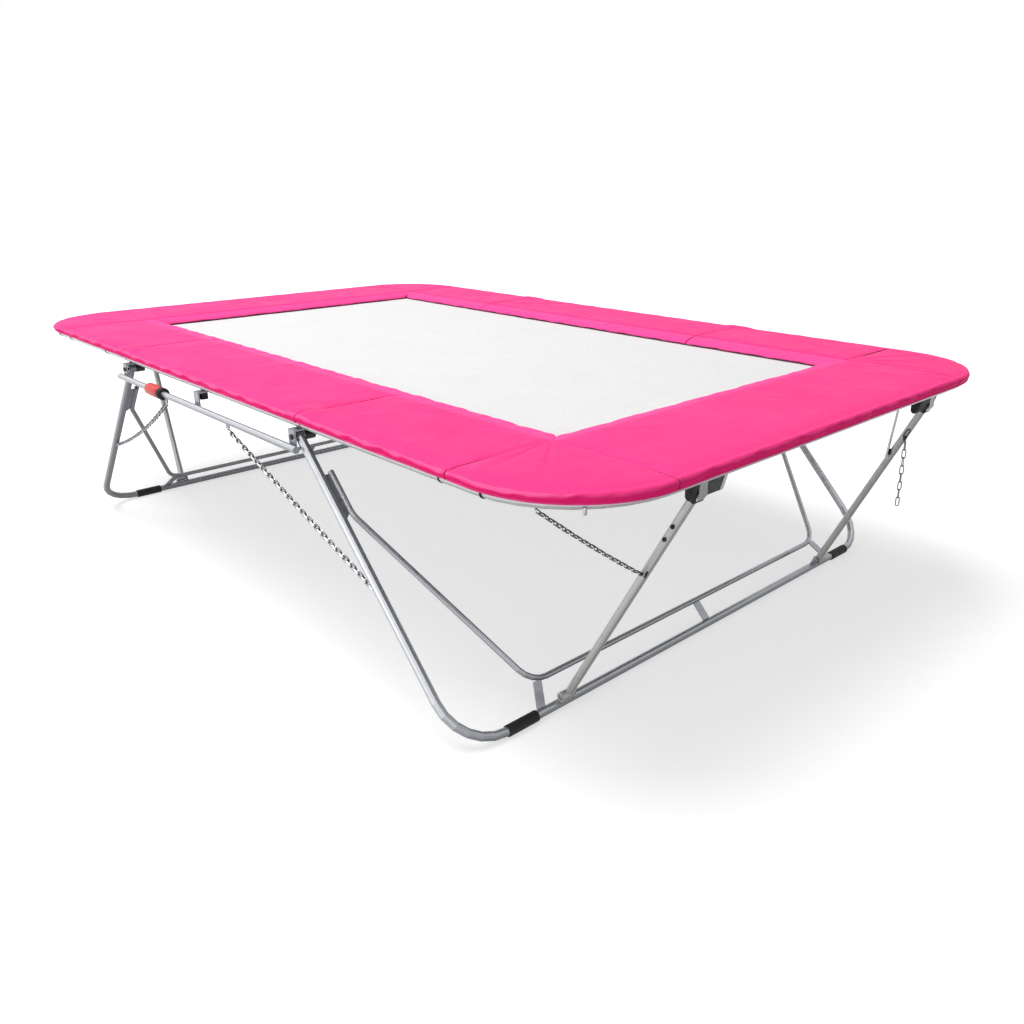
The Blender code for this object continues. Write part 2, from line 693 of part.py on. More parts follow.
def red_sleeve():
    start = RED_SLEEVE_X - RED_SLEEVE_LENGTH / 2
    y = -LOWER_RAIL_OUT
    path = [Vector((start, y, LOWER_RAIL_HEIGHT)), Vector((start + RED_SLEEVE_LENGTH, y, LOWER_RAIL_HEIGHT))]
    sleeve = tube(path, RED_SLEEVE_RADIUS, bore=LOWER_RAIL_RADIUS + GAP)
    add("red_sleeve", sleeve, "red_plastic")


# The leg frames, drawn along their own slope from the pivots down to the floor bar
LEG_RUN = FLOOR_BAR_X - LEG_PIVOT_X
LEG_FALL = LEG_PIVOT_HEIGHT - FOOT_RADIUS
LEG_LENGTH = hypot(LEG_RUN, LEG_FALL)


def leg_point(end, along, y):
    share = along / LEG_LENGTH
    return Vector((end * (LEG_PIVOT_X + LEG_RUN * share), y, LEG_PIVOT_HEIGHT - LEG_FALL * share))


def leg_plane_normal(end):
    return Vector((end * LEG_FALL, 0, LEG_RUN)).normalized()


def leg_plate(end, outline, thickness):
    """A flat plate in the leg's plane, from (along, y) points."""
    normal = leg_plane_normal(end)
    points = [leg_point(end, along, y) - normal * thickness / 2 for along, y in outline]
    return prism(points, normal * thickness)


def brace_pivot(end):
    apart = LEG_RADIUS + BRACE_SLEEVE_RADIUS + BRACE_CLEARANCE
    lift = FOOT_RADIUS + (apart ** 2 - BRACE_LEAN ** 2) ** 0.5
    return end * (FLOOR_BAR_X + BRACE_LEAN), lift


def leg_frame(end, body):
    """The outer U with its brace lugs, and the inner U that is welded into it."""
    corners = [
        leg_point(end, 0, -LEG_HALF_WIDTH), leg_point(end, LEG_LENGTH, -LEG_HALF_WIDTH),
        leg_point(end, LEG_LENGTH, LEG_HALF_WIDTH), leg_point(end, 0, LEG_HALF_WIDTH),
    ]
    normal = leg_plane_normal(end)
    path = filleted(corners, LEG_BEND, 6)
    outer = add(f"leg_{end_word(end)}", tube(path, LEG_RADIUS, normal=normal), "galvanised", body)
    half = LEG_EYE_WIDTH / 2
    ends = [
        across(
            end * LEG_PIVOT_X, LEG_PIVOT_HEIGHT, side * LEG_HALF_WIDTH - half,
            side * LEG_HALF_WIDTH + half, LEG_EYE_RADIUS, 16,
        )
        for side in (-1, 1)
    ]
    weld(outer, *ends)
    lugs = []
    pin_x, pin_z = brace_pivot(end)
    lug = hull_of_circles((end * FLOOR_BAR_X, FOOT_RADIUS), (pin_x, pin_z), BRACE_LUG_WIDTH / 2)
    lug_in = BRACE_FOOT_OUT - BRACE_RADIUS - 0.006 - BRACE_LUG_PLATE
    for side in (-1, 1):
        y = sorted((side * lug_in, side * (lug_in + BRACE_LUG_PLATE)))
        lugs.append(plate(lug, *y))
        y = sorted((side * (lug_in + 0.001), side * (BRACE_SLEEVE_OUT - 0.003)))
        lugs.append(across(pin_x, pin_z, *y, BRACE_PIN_RADIUS))
    weld(outer, *lugs)
    bores = [
        across(
            end * LEG_PIVOT_X, LEG_PIVOT_HEIGHT, side * LEG_HALF_WIDTH - 0.03,
            side * LEG_HALF_WIDTH + 0.03, LEG_PIN_RADIUS + PIN_CLEARANCE,
        )
        for side in (-1, 1)
    ]
    cut(outer, *bores)
    weld(outer, inner_frame(end, normal))
    weld(outer, *leg_plates(end))
    for side in (-1, 1):
        y = sorted((side * FOOT_OUT, side * (FOOT_OUT - FOOT_LENGTH)))
        bore = LEG_RADIUS / cos(pi / TUBE_SIDES) + GAP
        foot = across(end * FLOOR_BAR_X, FOOT_RADIUS, *y, FOOT_RADIUS, bore=bore)
        add(f"foot_{end_word(end)}_{side_word(side)}", foot, "rubber", body)


def inner_frame(end, normal):
    """The lighter U inside the leg, whose bar runs beside the floor bar."""
    bar = LEG_LENGTH - INNER_BAR_BACK
    corners = []
    for along, y in ((INNER_TOP, INNER_HALF_WIDTH), (INNER_TURN, INNER_HALF_WIDTH), (bar, INNER_CORNER_WIDTH)):
        corners.append(leg_point(end, along, -y))
    corners += [Vector((p.x, -p.y, p.z)) for p in reversed(corners)]
    return tube(filleted(corners, INNER_BEND, 4), INNER_RADIUS, 10, normal=normal)


def leg_plates(end):
    """Gussets and struts that weld the inner U to the outer one."""
    plates = []
    for side in (-1, 1):
        outline = [
            (INNER_TOP + 0.01, INNER_HALF_WIDTH), (INNER_TOP + 0.01, LEG_HALF_WIDTH - 0.01),
            (INNER_TURN + 0.02, LEG_HALF_WIDTH - 0.01), (INNER_TURN - 0.02, INNER_HALF_WIDTH),
        ]
        plates.append(leg_plate(end, [(s, side * y) for s, y in outline], GUSSET_PLATE))
    bar = LEG_LENGTH - INNER_BAR_BACK
    for side in (-1, 0, 1):
        half = STRUT_WIDTH / 2
        top, low = side * STRUT_OUT, side * (STRUT_OUT + STRUT_SPLAY)
        outline = [(bar, top - half), (LEG_LENGTH, low - half), (LEG_LENGTH, low + half), (bar, top + half)]
        plates.append(leg_plate(end, outline, STRUT_PLATE))
    return plates


# The braces
CRADLE_X = RAIL_HALF_LENGTH - CRADLE_BACK
CRADLE_HEIGHT = RAIL_HEIGHT - CRADLE_DROP


def brace_direction(end):
    """The unit vector up the brace, and its length from pivot to cradle bar."""
    x, z = brace_pivot(end)
    run = Vector((end * CRADLE_X - x, 0, CRADLE_HEIGHT - z))
    return run.normalized(), run.length


def brace_point(end, side, share):
    """A point on the brace's centre, as a share of the way from pivot to cradle bar."""
    x, z = brace_pivot(end)
    up, length = brace_direction(end)
    y = side * (BRACE_FOOT_OUT + (HOOK_OUT - BRACE_FOOT_OUT) * share)
    return Vector((x, y, z)) + up * length * share


def brace(end, side, body):
    """A tube with the pivot sleeve at its foot and the hook at its top."""
    x, z = brace_pivot(end)
    up, length = brace_direction(end)
    outward = Vector((up.z * end, 0, -up.x * end))
    seat = CRADLE_RUBBER + HOOK_CLEARANCE
    start = brace_point(end, side, 0.0165 / length)
    stop = brace_point(end, side, (length - seat - HOOK_PLATE / 2) / length)
    word = f"{end_word(end)}_{side_word(side)}"
    piece = add(f"brace_{word}", tube([start, stop], BRACE_RADIUS, normal=outward), "galvanised", body)
    y = sorted((side * BRACE_SLEEVE_OUT, side * (BRACE_SLEEVE_OUT - BRACE_SLEEVE_LENGTH)))
    weld(piece, across(x, z, *y, BRACE_SLEEVE_RADIUS, 16, BRACE_SLEEVE_BORE))
    centre = Vector((x, 0, z)) + up * length
    low, high = -seat - HOOK_PLATE, HOOK_TIP
    inner, outer = seat, seat + HOOK_PLATE
    profile = [(low, -BRACE_RADIUS), (-seat, -BRACE_RADIUS), (-seat, inner), (high, inner),
               (high, outer), (low, outer)]
    outline = []
    for rise, lean in profile:
        point = centre + up * rise + outward * lean
        outline.append((point.x, point.z))
    hook = plate(outline, side * HOOK_OUT - HOOK_WIDTH / 2, side * HOOK_OUT + HOOK_WIDTH / 2)
    weld(piece, hook)


def cradle(end, side, body):
    """The rubber-covered bar under the end rail that the brace's hook carries."""
    word = f"{end_word(end)}_{side_word(side)}"
    x = end * CRADLE_X
    low, high = sorted((side * (CRADLE_INNER - CRADLE_PLATE), side * (CRADLE_OUTER + CRADLE_PLATE)))
    bar = add(f"cradle_{word}", across(x, CRADLE_HEIGHT, low, high, CRADLE_BAR_RADIUS), "galvanised", body)
    outline = hull_of_circles((x, CRADLE_HEIGHT), (end * RAIL_HALF_LENGTH, RAIL_HEIGHT), CRADLE_PLATE_RADIUS)
    weld(bar, *(
        plate(outline, *sorted((side * at, side * (at + CRADLE_PLATE))))
        for at in (CRADLE_INNER - CRADLE_PLATE, CRADLE_OUTER)
    ))
    cut(bar, across(end * RAIL_HALF_LENGTH, RAIL_HEIGHT, low - 0.01, high + 0.01, RAIL_RADIUS + GAP))
    y = sorted((side * (CRADLE_INNER + GAP), side * (CRADLE_OUTER - GAP)))
    rubber = across(x, CRADLE_HEIGHT, *y, CRADLE_RUBBER, bore=CRADLE_BAR_RADIUS + GAP)
    add(f"cradle_rubber_{word}", rubber, "rubber", body)


def chain(name, points, body=None):
    """A chain as one round body along a smooth route through a few points."""
    curve = bpy.data.curves.new(name, "CURVE")
    curve.dimensions = "3D"
    curve.bevel_depth = CHAIN_RADIUS
    curve.bevel_resolution = 2
    curve.use_fill_caps = True
    spline = curve.splines.new("POLY")
    spline.points.add(len(points) - 1)
    for spot, point in zip(spline.points, points):
        spot.co = (*point, 1.0)
    piece = bpy.data.objects.new(name, curve)
    bpy.context.scene.collection.objects.link(piece)
    curve.materials.append(material("dark_steel"))
    if body:
        piece.parent = body
        piece.matrix_parent_inverse = Matrix.Translation(-body.location)


def sagging(start, stop, sag, steps=10):
    """Points of a shallow hanging curve between two places."""
    return [
        start.lerp(stop, k / steps) - Vector((0, 0, 4 * sag * (k / steps) * (1 - k / steps)))
        for k in range(steps + 1)
    ]


def leg_chains():
    """A chain each side of each leg, from a lug on the lower rail down to the leg."""
    for end in (-1, 1):
        for side in (-1, 1):
            lug = LOWER_RAIL_HEIGHT - LOWER_RAIL_RADIUS - CHAIN_LUG_DROP
            top = Vector((end * CHAIN_LUG_X, side * LOWER_RAIL_OUT, lug - CHAIN_SEAT))
            bottom = leg_point(end, CHAIN_HOOK_ALONG, side * LEG_HALF_WIDTH)
            bottom -= leg_plane_normal(end) * (LEG_RADIUS + CHAIN_SEAT)
            sag = LEG_CHAIN_SAG[end]
            chain(f"leg_chain_{end_word(end)}_{side_word(side)}", sagging(top, bottom, sag))


def corner_chain():
    """The chain hooked from one brace to the corner of the front end frame."""
    reach = RAIL_RADIUS + CHAIN_SEAT
    turn = radians(CORNER_CHAIN_TURN)
    corner = Vector((
        RAIL_HALF_LENGTH - CORNER_RADIUS + CORNER_RADIUS * sin(turn),
        -(RAIL_HALF_WIDTH - CORNER_RADIUS + CORNER_RADIUS * cos(turn)), RAIL_HEIGHT - reach,
    ))
    foot = brace_point(1, -1, CORNER_CHAIN_ALONG)
    run = (corner - foot).normalized()
    foot.y -= BRACE_RADIUS + CHAIN_SEAT * (1 - run.y ** 2) ** 0.5
    body = pivot("corner_chain_axis", foot)
    chain("corner_chain", sagging(corner, foot, CORNER_CHAIN_SAG), body)


def loose_chain():
    """The other corner's chain, unhooked and hanging straight down from its brace."""
    up, length = brace_direction(1)
    outward = Vector((up.z, 0, -up.x))
    top = brace_point(1, 1, LOOSE_CHAIN_ALONG) + outward * (BRACE_RADIUS + CHAIN_SEAT)
    body = pivot("loose_chain_axis", top)
    chain("loose_chain", sagging(top, top - Vector((0, 0, LOOSE_CHAIN_LENGTH)), 0.0), body)


def main():
    clear_scene()
    middle_side_rails()
    lower_rails()
    red_sleeve()
    middle_springs()
    middle_pads()
    reach = HINGE_X - SEAM_GAP
    bed_panel("bed_middle", -reach, reach)
    for end in (-1, 1):
        word = end_word(end)
        fold = pivot(f"fold_axis_{word}", (end * HINGE_X, 0, HINGE_HEIGHT))
        leg = pivot(f"leg_axis_{word}", (end * LEG_PIVOT_X, 0, LEG_PIVOT_HEIGHT))
        x, z = brace_pivot(end)
        end_frame(end, fold)
        pads(end, fold)
        end_springs(end, fold)
        span = sorted((end * (HINGE_X + SEAM_GAP), end * BED_HALF_LENGTH))
        bed_panel(f"bed_{word}", *span, fold)
        leg_frame(end, leg)
        for side in (-1, 1):
            hinge = pivot(f"brace_axis_{word}_{side_word(side)}", (x, 0, z))
            brace(end, side, hinge)
            cradle(end, side, fold)
    leg_chains()
    corner_chain()
    loose_chain()


main()
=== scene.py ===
"""Looks for the folding gymnastics trampoline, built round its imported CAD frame.

Everything is in metres in the CAD's frame: X along the length, Y across, Z up.
"""

from math import ceil, cos, hypot, pi, radians, sin

import bmesh
import bpy
import numpy as np
from mathutils import Matrix, Vector

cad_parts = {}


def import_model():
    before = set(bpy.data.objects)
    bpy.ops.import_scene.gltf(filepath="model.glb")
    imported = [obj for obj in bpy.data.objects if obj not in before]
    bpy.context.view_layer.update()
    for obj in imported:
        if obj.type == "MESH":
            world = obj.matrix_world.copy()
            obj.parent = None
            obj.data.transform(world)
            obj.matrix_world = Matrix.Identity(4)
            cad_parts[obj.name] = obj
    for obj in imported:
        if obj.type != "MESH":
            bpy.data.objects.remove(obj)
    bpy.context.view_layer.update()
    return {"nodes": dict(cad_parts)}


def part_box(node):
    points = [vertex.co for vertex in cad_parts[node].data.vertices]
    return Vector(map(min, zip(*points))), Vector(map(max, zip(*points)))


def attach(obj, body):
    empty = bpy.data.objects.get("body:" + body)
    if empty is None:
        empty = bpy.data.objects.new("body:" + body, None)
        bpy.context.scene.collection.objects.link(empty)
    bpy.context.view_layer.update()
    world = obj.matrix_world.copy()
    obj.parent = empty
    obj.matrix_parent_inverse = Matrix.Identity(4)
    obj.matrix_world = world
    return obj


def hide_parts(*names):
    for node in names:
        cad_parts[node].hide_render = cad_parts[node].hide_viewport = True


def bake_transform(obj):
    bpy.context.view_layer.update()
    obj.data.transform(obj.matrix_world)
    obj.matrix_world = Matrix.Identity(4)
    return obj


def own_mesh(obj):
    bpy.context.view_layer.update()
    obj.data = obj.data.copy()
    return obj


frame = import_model()

SEAM_GAP = 0.0006              # between two pads, each side of their seam

# Sizes read from the CAD's own solids
corner_low, corner_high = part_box("pad_corner_front_right")
middle_low, middle_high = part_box("pad_middle_right")
OUTER_X, OUTER_Y, PAD_TOP = corner_high
CREST_X, CREST_Y = corner_low.x, corner_low.y
OPEN_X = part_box("pad_end_front")[0].x
OPEN_Y = middle_low.y
HINGE_X = middle_high.x + SEAM_GAP
BED_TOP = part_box("bed_middle")[1].z
BED_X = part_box("bed_front")[1].x
BED_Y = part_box("bed_front")[1].y

# Sizes that repeat the CAD's
RAIL_X, RAIL_Y, RAIL_Z, RAIL_R = 2.520, 1.500, 1.125, 0.021
RAIL_CORNER = 0.440            # radius of the end rail's bend
RAIL_JOINT_GAP = 0.005         # from the hinge line to where an end section's rail starts
CORNER_OUTER_RADIUS = 0.483    # of a corner pad's outer face
KNUCKLE_Y = 1.4705             # the middle of a fold hinge's knuckle

# Sizes of the covers, the webbing and the springs
KNUCKLE_TOP = PAD_TOP + 0.012
KNUCKLE_HALF_X, KNUCKLE_HALF_Y = 0.040, 0.012
UNDERSIDE = 1.1405
SIDE_FOOT, END_FOOT = 1.1338, 1.1262       # where the skirts end
SHOULDER = 1.1565              # where a pad's outer wall turns over into its top
PAD_FLAT = 1.1705
CREST_TOP = 1.1675             # the edge from which the flap slopes down to the bed
HEM_TOP, HEM_TOP_FAR = 1.1575, 1.1395
HEM_LOW = BED_TOP + 0.0045
CHANNEL_SIDE, CHANNEL_TOP = 1.1455, 1.1490  # the groove under a pad that takes the rail
SEAM_ZONE = 0.024              # beside a seam, with its own close stations
SEAM_DIP_REACH, SEAM_DIP_DEPTH = 0.0045, 0.0030
BEAD = (1, 2)                  # points of a pad's section that form the bead at its skirt's foot
FLAP_STEPS = 7                 # points from a pad's crest to its hem
FILL_FRAMES = 20
WEB_WIDTH, WEB_OVERLAP, WEB_HALF_THICK = 0.032, 0.006, 0.0035
SPRING_WIDTH, SPRING_MARGIN = 0.014, 0.055
HOOK_WIRE, HOOK_RUN = 0.0019, 0.030         # a spring's straight end: radius and length
COIL_INSET, COIL_STEP = 0.002, 0.0048
COIL_RIDGE, COIL_GROOVE = 0.0105, 0.0082
BOTH = (-1, 1)


def side_word(side):
    return "left" if side < 0 else "right"


def end_word(end):
    return "front" if end > 0 else "rear"


# Materials
def linear(*srgb):
    """A colour as the eye names it, 0 to 255, as the renderer's linear numbers."""
    return tuple(((c / 255 + 0.055) / 1.055) ** 2.4 if c > 10 else c / 255 / 12.92 for c in srgb) + (1.0,)


class Finish:
    """A procedural material, with short ways to add grain, patches and wear."""

    def __init__(self, name, colour, roughness, metallic=0.0, specular=0.5):
        self.made = bpy.data.materials.new(name)
        self.made.use_nodes = True
        self.tree = self.made.node_tree
        self.shader = self.tree.nodes["Principled BSDF"]
        self.colour = colour
        self.shader.inputs["Base Color"].default_value = colour
        self.shader.inputs["Roughness"].default_value = roughness
        self.shader.inputs["Metallic"].default_value = metallic
        self.shader.inputs["Specular IOR Level"].default_value = specular
        self.place = self.add("ShaderNodeTexCoord").outputs["Object"]
        self.bumps = None

    def add(self, kind, **settings):
        node = self.tree.nodes.new(kind)
        for key, value in settings.items():
            setattr(node, key, value)
        return node

    def link(self, source, target):
        self.tree.links.new(source, target)

    def stretched(self, scale):
        mapping = self.add("ShaderNodeMapping")
        mapping.inputs["Scale"].default_value = scale
        self.link(self.place, mapping.inputs["Vector"])
        return mapping.outputs["Vector"]

    def noise(self, scale, detail=3.0, distortion=0.0, stretch=None):
        node = self.add("ShaderNodeTexNoise")
        node.inputs["Scale"].default_value = scale
        node.inputs["Detail"].default_value = detail
        node.inputs["Distortion"].default_value = distortion
        self.link(self.stretched(stretch) if stretch else self.place, node.inputs["Vector"])
        return node.outputs["Fac"]

    def cells(self, scale, feature="F1", stretch=None):
        node = self.add("ShaderNodeTexVoronoi", feature=feature)
        node.inputs["Scale"].default_value = scale
        self.link(self.stretched(stretch) if stretch else self.place, node.inputs["Vector"])
        return node

    def bands(self, period, direction):
        node = self.add("ShaderNodeTexWave", bands_direction=direction)
        node.inputs["Scale"].default_value = 2 * pi / (20 * period)
        self.link(self.place, node.inputs["Vector"])
        return node.outputs["Fac"]

    def maths(self, operation, one, two):
        node = self.add("ShaderNodeMath", operation=operation)
        for socket, value in zip(node.inputs, (one, two)):
            if isinstance(value, (int, float)):
                socket.default_value = value
            else:
                self.link(value, socket)
        return node.outputs["Value"]

    def ramp(self, value, low, high, from_value=0.0, to_value=1.0):
        node = self.add("ShaderNodeMapRange")
        for key, number in (("From Min", low), ("From Max", high), ("To Min", from_value), ("To Max", to_value)):
            node.inputs[key].default_value = number
        self.link(value, node.inputs["Value"])
        return node.outputs["Result"]

    def facing(self, *way):
        """How far a surface faces one fixed way of the studio: the mask for painted shade and painted highlights."""
        node = self.add("ShaderNodeVectorMath", operation="DOT_PRODUCT")
        self.link(self.add("ShaderNodeNewGeometry").outputs["Normal"], node.inputs[0])
        node.inputs[1].default_value = Vector(way).normalized()
        return node.outputs["Value"]

    def tint(self, share, colour):
        """Another colour over the base one, by a share from 0 to 1."""
        mix = self.add("ShaderNodeMix", data_type="RGBA")
        socket = self.shader.inputs["Base Color"]
        if socket.is_linked:
            self.link(socket.links[0].from_socket, mix.inputs["A"])
        else:
            mix.inputs["A"].default_value = self.colour
        mix.inputs["B"].default_value = colour
        self.link(share, mix.inputs["Factor"])
        self.link(mix.outputs["Result"], socket)

    def rough(self, value):
        self.link(value, self.shader.inputs["Roughness"])

    def bump(self, height, strength, distance):
        node = self.add("ShaderNodeBump")
        node.inputs["Strength"].default_value = strength
        node.inputs["Distance"].default_value = distance
        self.link(height, node.inputs["Height"])
        if self.bumps:
            self.link(self.bumps, node.inputs["Normal"])
        self.bumps = node.outputs["Normal"]
        self.link(self.bumps, self.shader.inputs["Normal"])


def vinyl_finish(name="pink_vinyl", lift=0):
    """Coated sheet: fine leather grain, slack ripples, scuffs and a little dust, with painted shade on faces that turn
    sideways or down and a painted highlight on rounded edges that face one fixed way.
    """
    it = Finish(name, linear(252, 66 + lift, 140 + lift), 0.55, specular=0.03)
    it.tint(it.ramp(it.noise(2.2, 4.0, 0.4), 0.35, 0.75, 0.0, 0.45), linear(243, 54 + lift, 128 + lift))
    it.tint(it.ramp(it.noise(7.0, 6.0, 1.2), 0.55, 0.80, 0.0, 0.30), linear(255, 88 + lift, 156 + lift))
    if not lift:
        # Painted shade: faces that turn sideways or down, as the skirts do, take a deeper, darker pink.
        it.tint(it.ramp(it.facing(0, 0, 1), 0.55, -0.05, 0.0, 0.80), linear(255, 28, 122))
        # Painted highlight: a light pink line on rounded edges that face the front and up.
        it.tint(it.ramp(it.facing(0.20, -0.70, 0.68), 0.90, 0.975, 0.0, 0.38), linear(255, 128, 182))
    it.rough(it.ramp(it.noise(5.0, 5.0, 0.8), 0.3, 0.7, 0.44, 0.58))
    it.bump(it.noise(3.2, 2.0, 1.0, (1.0, 1.0, 0.4)), 0.28, 0.020)
    it.bump(it.noise(14.0, 3.0, 1.6), 0.14, 0.006)
    it.bump(it.cells(520.0).outputs["Distance"], 0.10, 0.0006)
    return it.made


def bed_finish():
    """Woven nylon string: bands both ways, with gaps and soft patches of tone."""
    it = Finish("bed_weave", linear(233, 232, 232), 0.85, specular=0.06)
    along, over = it.bands(0.0125, "X"), it.bands(0.0125, "Y")
    weave = it.maths("MULTIPLY", along, over)
    it.tint(it.ramp(weave, 0.0, 0.55, 0.38, 0.0), linear(176, 177, 180))
    it.tint(it.ramp(it.noise(5.0, 8.0, 0.3), 0.42, 0.72, 0.0, 0.35), linear(214, 214, 215))
    it.tint(it.ramp(it.noise(55.0, 4.0), 0.45, 0.75, 0.0, 0.28), linear(246, 246, 246))
    it.bump(it.maths("MAXIMUM", along, over), 0.35, 0.0012)
    it.bump(it.noise(2.4, 2.0), 0.10, 0.010)
    return it.made


def metal_finish(name, colour, roughness, spangle, metallic=0.92, gleam=0.0, shade_depth=0.30, shade_span=(0.40, -0.30),
                 way=(-0.25, -0.45, 0.86)):
    """Zinc-coated tube: crystal patches and dull spots, with painted shade and a painted highlight by which way each
    face turns.
    """
    it = Finish(name, colour, roughness, metallic)
    patches = it.cells(46.0).outputs["Color"]
    grey = it.add("ShaderNodeRGBToBW")
    it.link(patches, grey.inputs["Color"])
    dark = tuple(c * 0.72 for c in colour[:3]) + (1.0,)
    it.tint(it.ramp(grey.outputs["Val"], 0.2, 0.9, 0.0, spangle), dark)
    it.tint(it.ramp(it.noise(6.0, 4.0, 0.6), 0.45, 0.8, 0.0, 0.14), dark)
    # Painted shade: faces turned away from one fixed way of the studio darken towards a shaded copy of the colour.
    shade = tuple(c * shade_depth for c in colour[:3]) + (1.0,)
    it.tint(it.ramp(it.facing(*way), *shade_span, 0.0, 0.85), shade)
    # Painted highlight: faces turned up towards the front left go near white, like a strip lamp's reflection.
    it.tint(it.ramp(it.facing(0.35, -0.62, 0.70), 0.80, 0.96, 0.0, gleam), linear(238, 240, 243))
    it.rough(it.ramp(it.noise(24.0, 4.0), 0.3, 0.75, roughness - 0.04, roughness + 0.10))
    it.bump(it.noise(90.0, 2.0), 0.02, 0.0002)
    return it.made


def rubber_finish(name="black_rubber", colour=(28, 28, 30), roughness=0.62):
    it = Finish(name, linear(*colour), roughness, specular=0.35)
    it.tint(it.ramp(it.noise(30.0, 5.0), 0.5, 0.8, 0.0, 0.5), linear(*(c + 22 for c in colour)))
    it.rough(it.ramp(it.noise(60.0, 3.0), 0.3, 0.7, roughness - 0.1, roughness + 0.12))
    it.bump(it.noise(420.0, 2.0), 0.12, 0.0006)
    return it.made


def backing_finish():
    """The woven grey backing under the pads."""
    it = Finish("pad_backing", linear(150, 150, 154), 0.85, specular=0.2)
    it.tint(it.ramp(it.noise(40.0, 4.0), 0.4, 0.8, 0.0, 0.5), linear(126, 126, 130))
    it.bump(it.maths("MULTIPLY", it.bands(0.003, "X"), it.bands(0.003, "Y")), 0.3, 0.0006)
    return it.made


def plastic_finish():
    it = Finish("coral_plastic", linear(210, 62, 58), 0.42)
    it.tint(it.ramp(it.noise(18.0, 4.0), 0.5, 0.8, 0.0, 0.4), linear(226, 88, 82))
    it.bump(it.noise(300.0, 2.0), 0.08, 0.0006)
    return it.made


def webbing_finish():
    it = Finish("white_webbing", linear(214, 213, 210), 0.8, specular=0.2)
    it.tint(it.ramp(it.bands(0.004, "X"), 0.0, 0.6, 0.4, 0.0), linear(170, 170, 168))
    it.bump(it.maths("MULTIPLY", it.bands(0.004, "X"), it.bands(0.004, "Y")), 0.4, 0.0008)
    return it.made


# Every metal finish below carries painted shade, and most a painted highlight; they differ in colour and in how strong
# these are.
GALVANISED = metal_finish("galvanised", linear(190, 192, 195), 0.24, 0.14, 0.70, 0.80)
RAIL = metal_finish("galvanised_rail", linear(198, 198, 200), 0.26, 0.06, 0.50, 0.60, 0.34, (-0.05, -0.80),
                    (0, -0.05, 1))
LOWER = metal_finish("galvanised_lower", linear(176, 180, 188), 0.26, 0.06, 0.60, 0.80, 0.22, (0.55, -0.30),
                     (0, -0.2, 1))
# Darker and bluer than the galvanised finish, for the legs and their floor bars.
BLUE_GREY = metal_finish("galvanised_blue_grey", linear(172, 175, 181), 0.26, 0.07, 0.65, 0.75)
BRACE = metal_finish("galvanised_warm", linear(196, 196, 194), 0.30, 0.10, 0.45, 0.35, 0.45, (0.30, -0.35))
SPRING = metal_finish("spring_steel", linear(186, 188, 192), 0.30, 0.2, 0.9)
CHAIN = metal_finish("chain_steel", linear(222, 223, 226), 0.24, 0.06, 0.55, 0.90, 0.12, (0.30, -0.10))
# Painted shade: a dark copy of the chain steel that every other link of a steel chain takes.
CHAIN_DARK = metal_finish("chain_steel_shaded", linear(96, 98, 102), 0.30, 0.1, 0.70, 0.20, 0.30)
LOOSE = metal_finish("chain_steel_dull", linear(140, 142, 145), 0.30, 0.1, 0.60, 0.30, 0.30)
DARK = metal_finish("dark_steel", linear(70, 71, 74), 0.42, 0.3)
VINYL = vinyl_finish()
HEM_VINYL = vinyl_finish("pink_vinyl_hem", 16)
# Painted shade: a darker crimson for the strip along each seam, in its sewn groove.
SEAM = rubber_finish("pink_vinyl_seam_shade", (186, 30, 96), 0.6)
BACKING = backing_finish()
BED = bed_finish()
RUBBER = rubber_finish()
NYLON = rubber_finish("black_nylon", (36, 37, 40), 0.42)
RED = plastic_finish()
WEBBING = webbing_finish()


# Mesh helpers
def piece_from(made, name, finish, body=None, smooth=40.0):
    bmesh.ops.recalc_face_normals(made, faces=made.faces)
    mesh = bpy.data.meshes.new(name)
    made.to_mesh(mesh)
    made.free()
    piece = bpy.data.objects.new(name, mesh)
    bpy.context.scene.collection.objects.link(piece)
    mesh.materials.append(finish)
    mesh.shade_smooth()
    mesh.set_sharp_from_angle(angle=radians(smooth))
    if body:
        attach(piece, body)
    return piece


def sweep(made, path, radius, sides=10, closed=False, flat=None, caps=True):
    """A round bar along a path into a mesh; radius may be one number or one for each point."""
    count = len(path)
    radii = radius if isinstance(radius, (list, tuple)) else [radius] * count
    rings, side = [], flat
    for k, point in enumerate(path):
        before = path[k - 1] if closed or k else path[k]
        after = path[(k + 1) % count] if closed or k < count - 1 else path[k]
        ahead = (after - before).normalized()
        if side is None:
            side = ahead.orthogonal()
        side = (side - ahead * side.dot(ahead)).normalized()
        up = ahead.cross(side)
        rings.append([
            made.verts.new(point + (side * cos(2 * pi * n / sides) + up * sin(2 * pi * n / sides)) * radii[k])
            for n in range(sides)
        ])
    pairs = list(zip(rings, rings[1:])) + ([(rings[-1], rings[0])] if closed else [])
    for one, two in pairs:
        for n in range(sides):
            m = (n + 1) % sides
            made.faces.new((one[n], one[m], two[m], two[n]))
    if caps and not closed:
        made.faces.new(rings[0])
        made.faces.new(rings[-1])


# Pads. A pad is a run of stations round the ring, each with one closed cross-section.
CORNER_RUNS = (
    OUTER_Y - CORNER_OUTER_RADIUS - CREST_Y, CORNER_OUTER_RADIUS * pi / 2, OUTER_X - CORNER_OUTER_RADIUS - CREST_X,
)
CORNER_LENGTH = sum(CORNER_RUNS)
BACK_PART, COVER_PART, HEM_PART = 0.0, 1.0, 2.0
COVER_SLOT, HEM_SLOT, BACKING_SLOT, SEAM_SLOT = range(4)


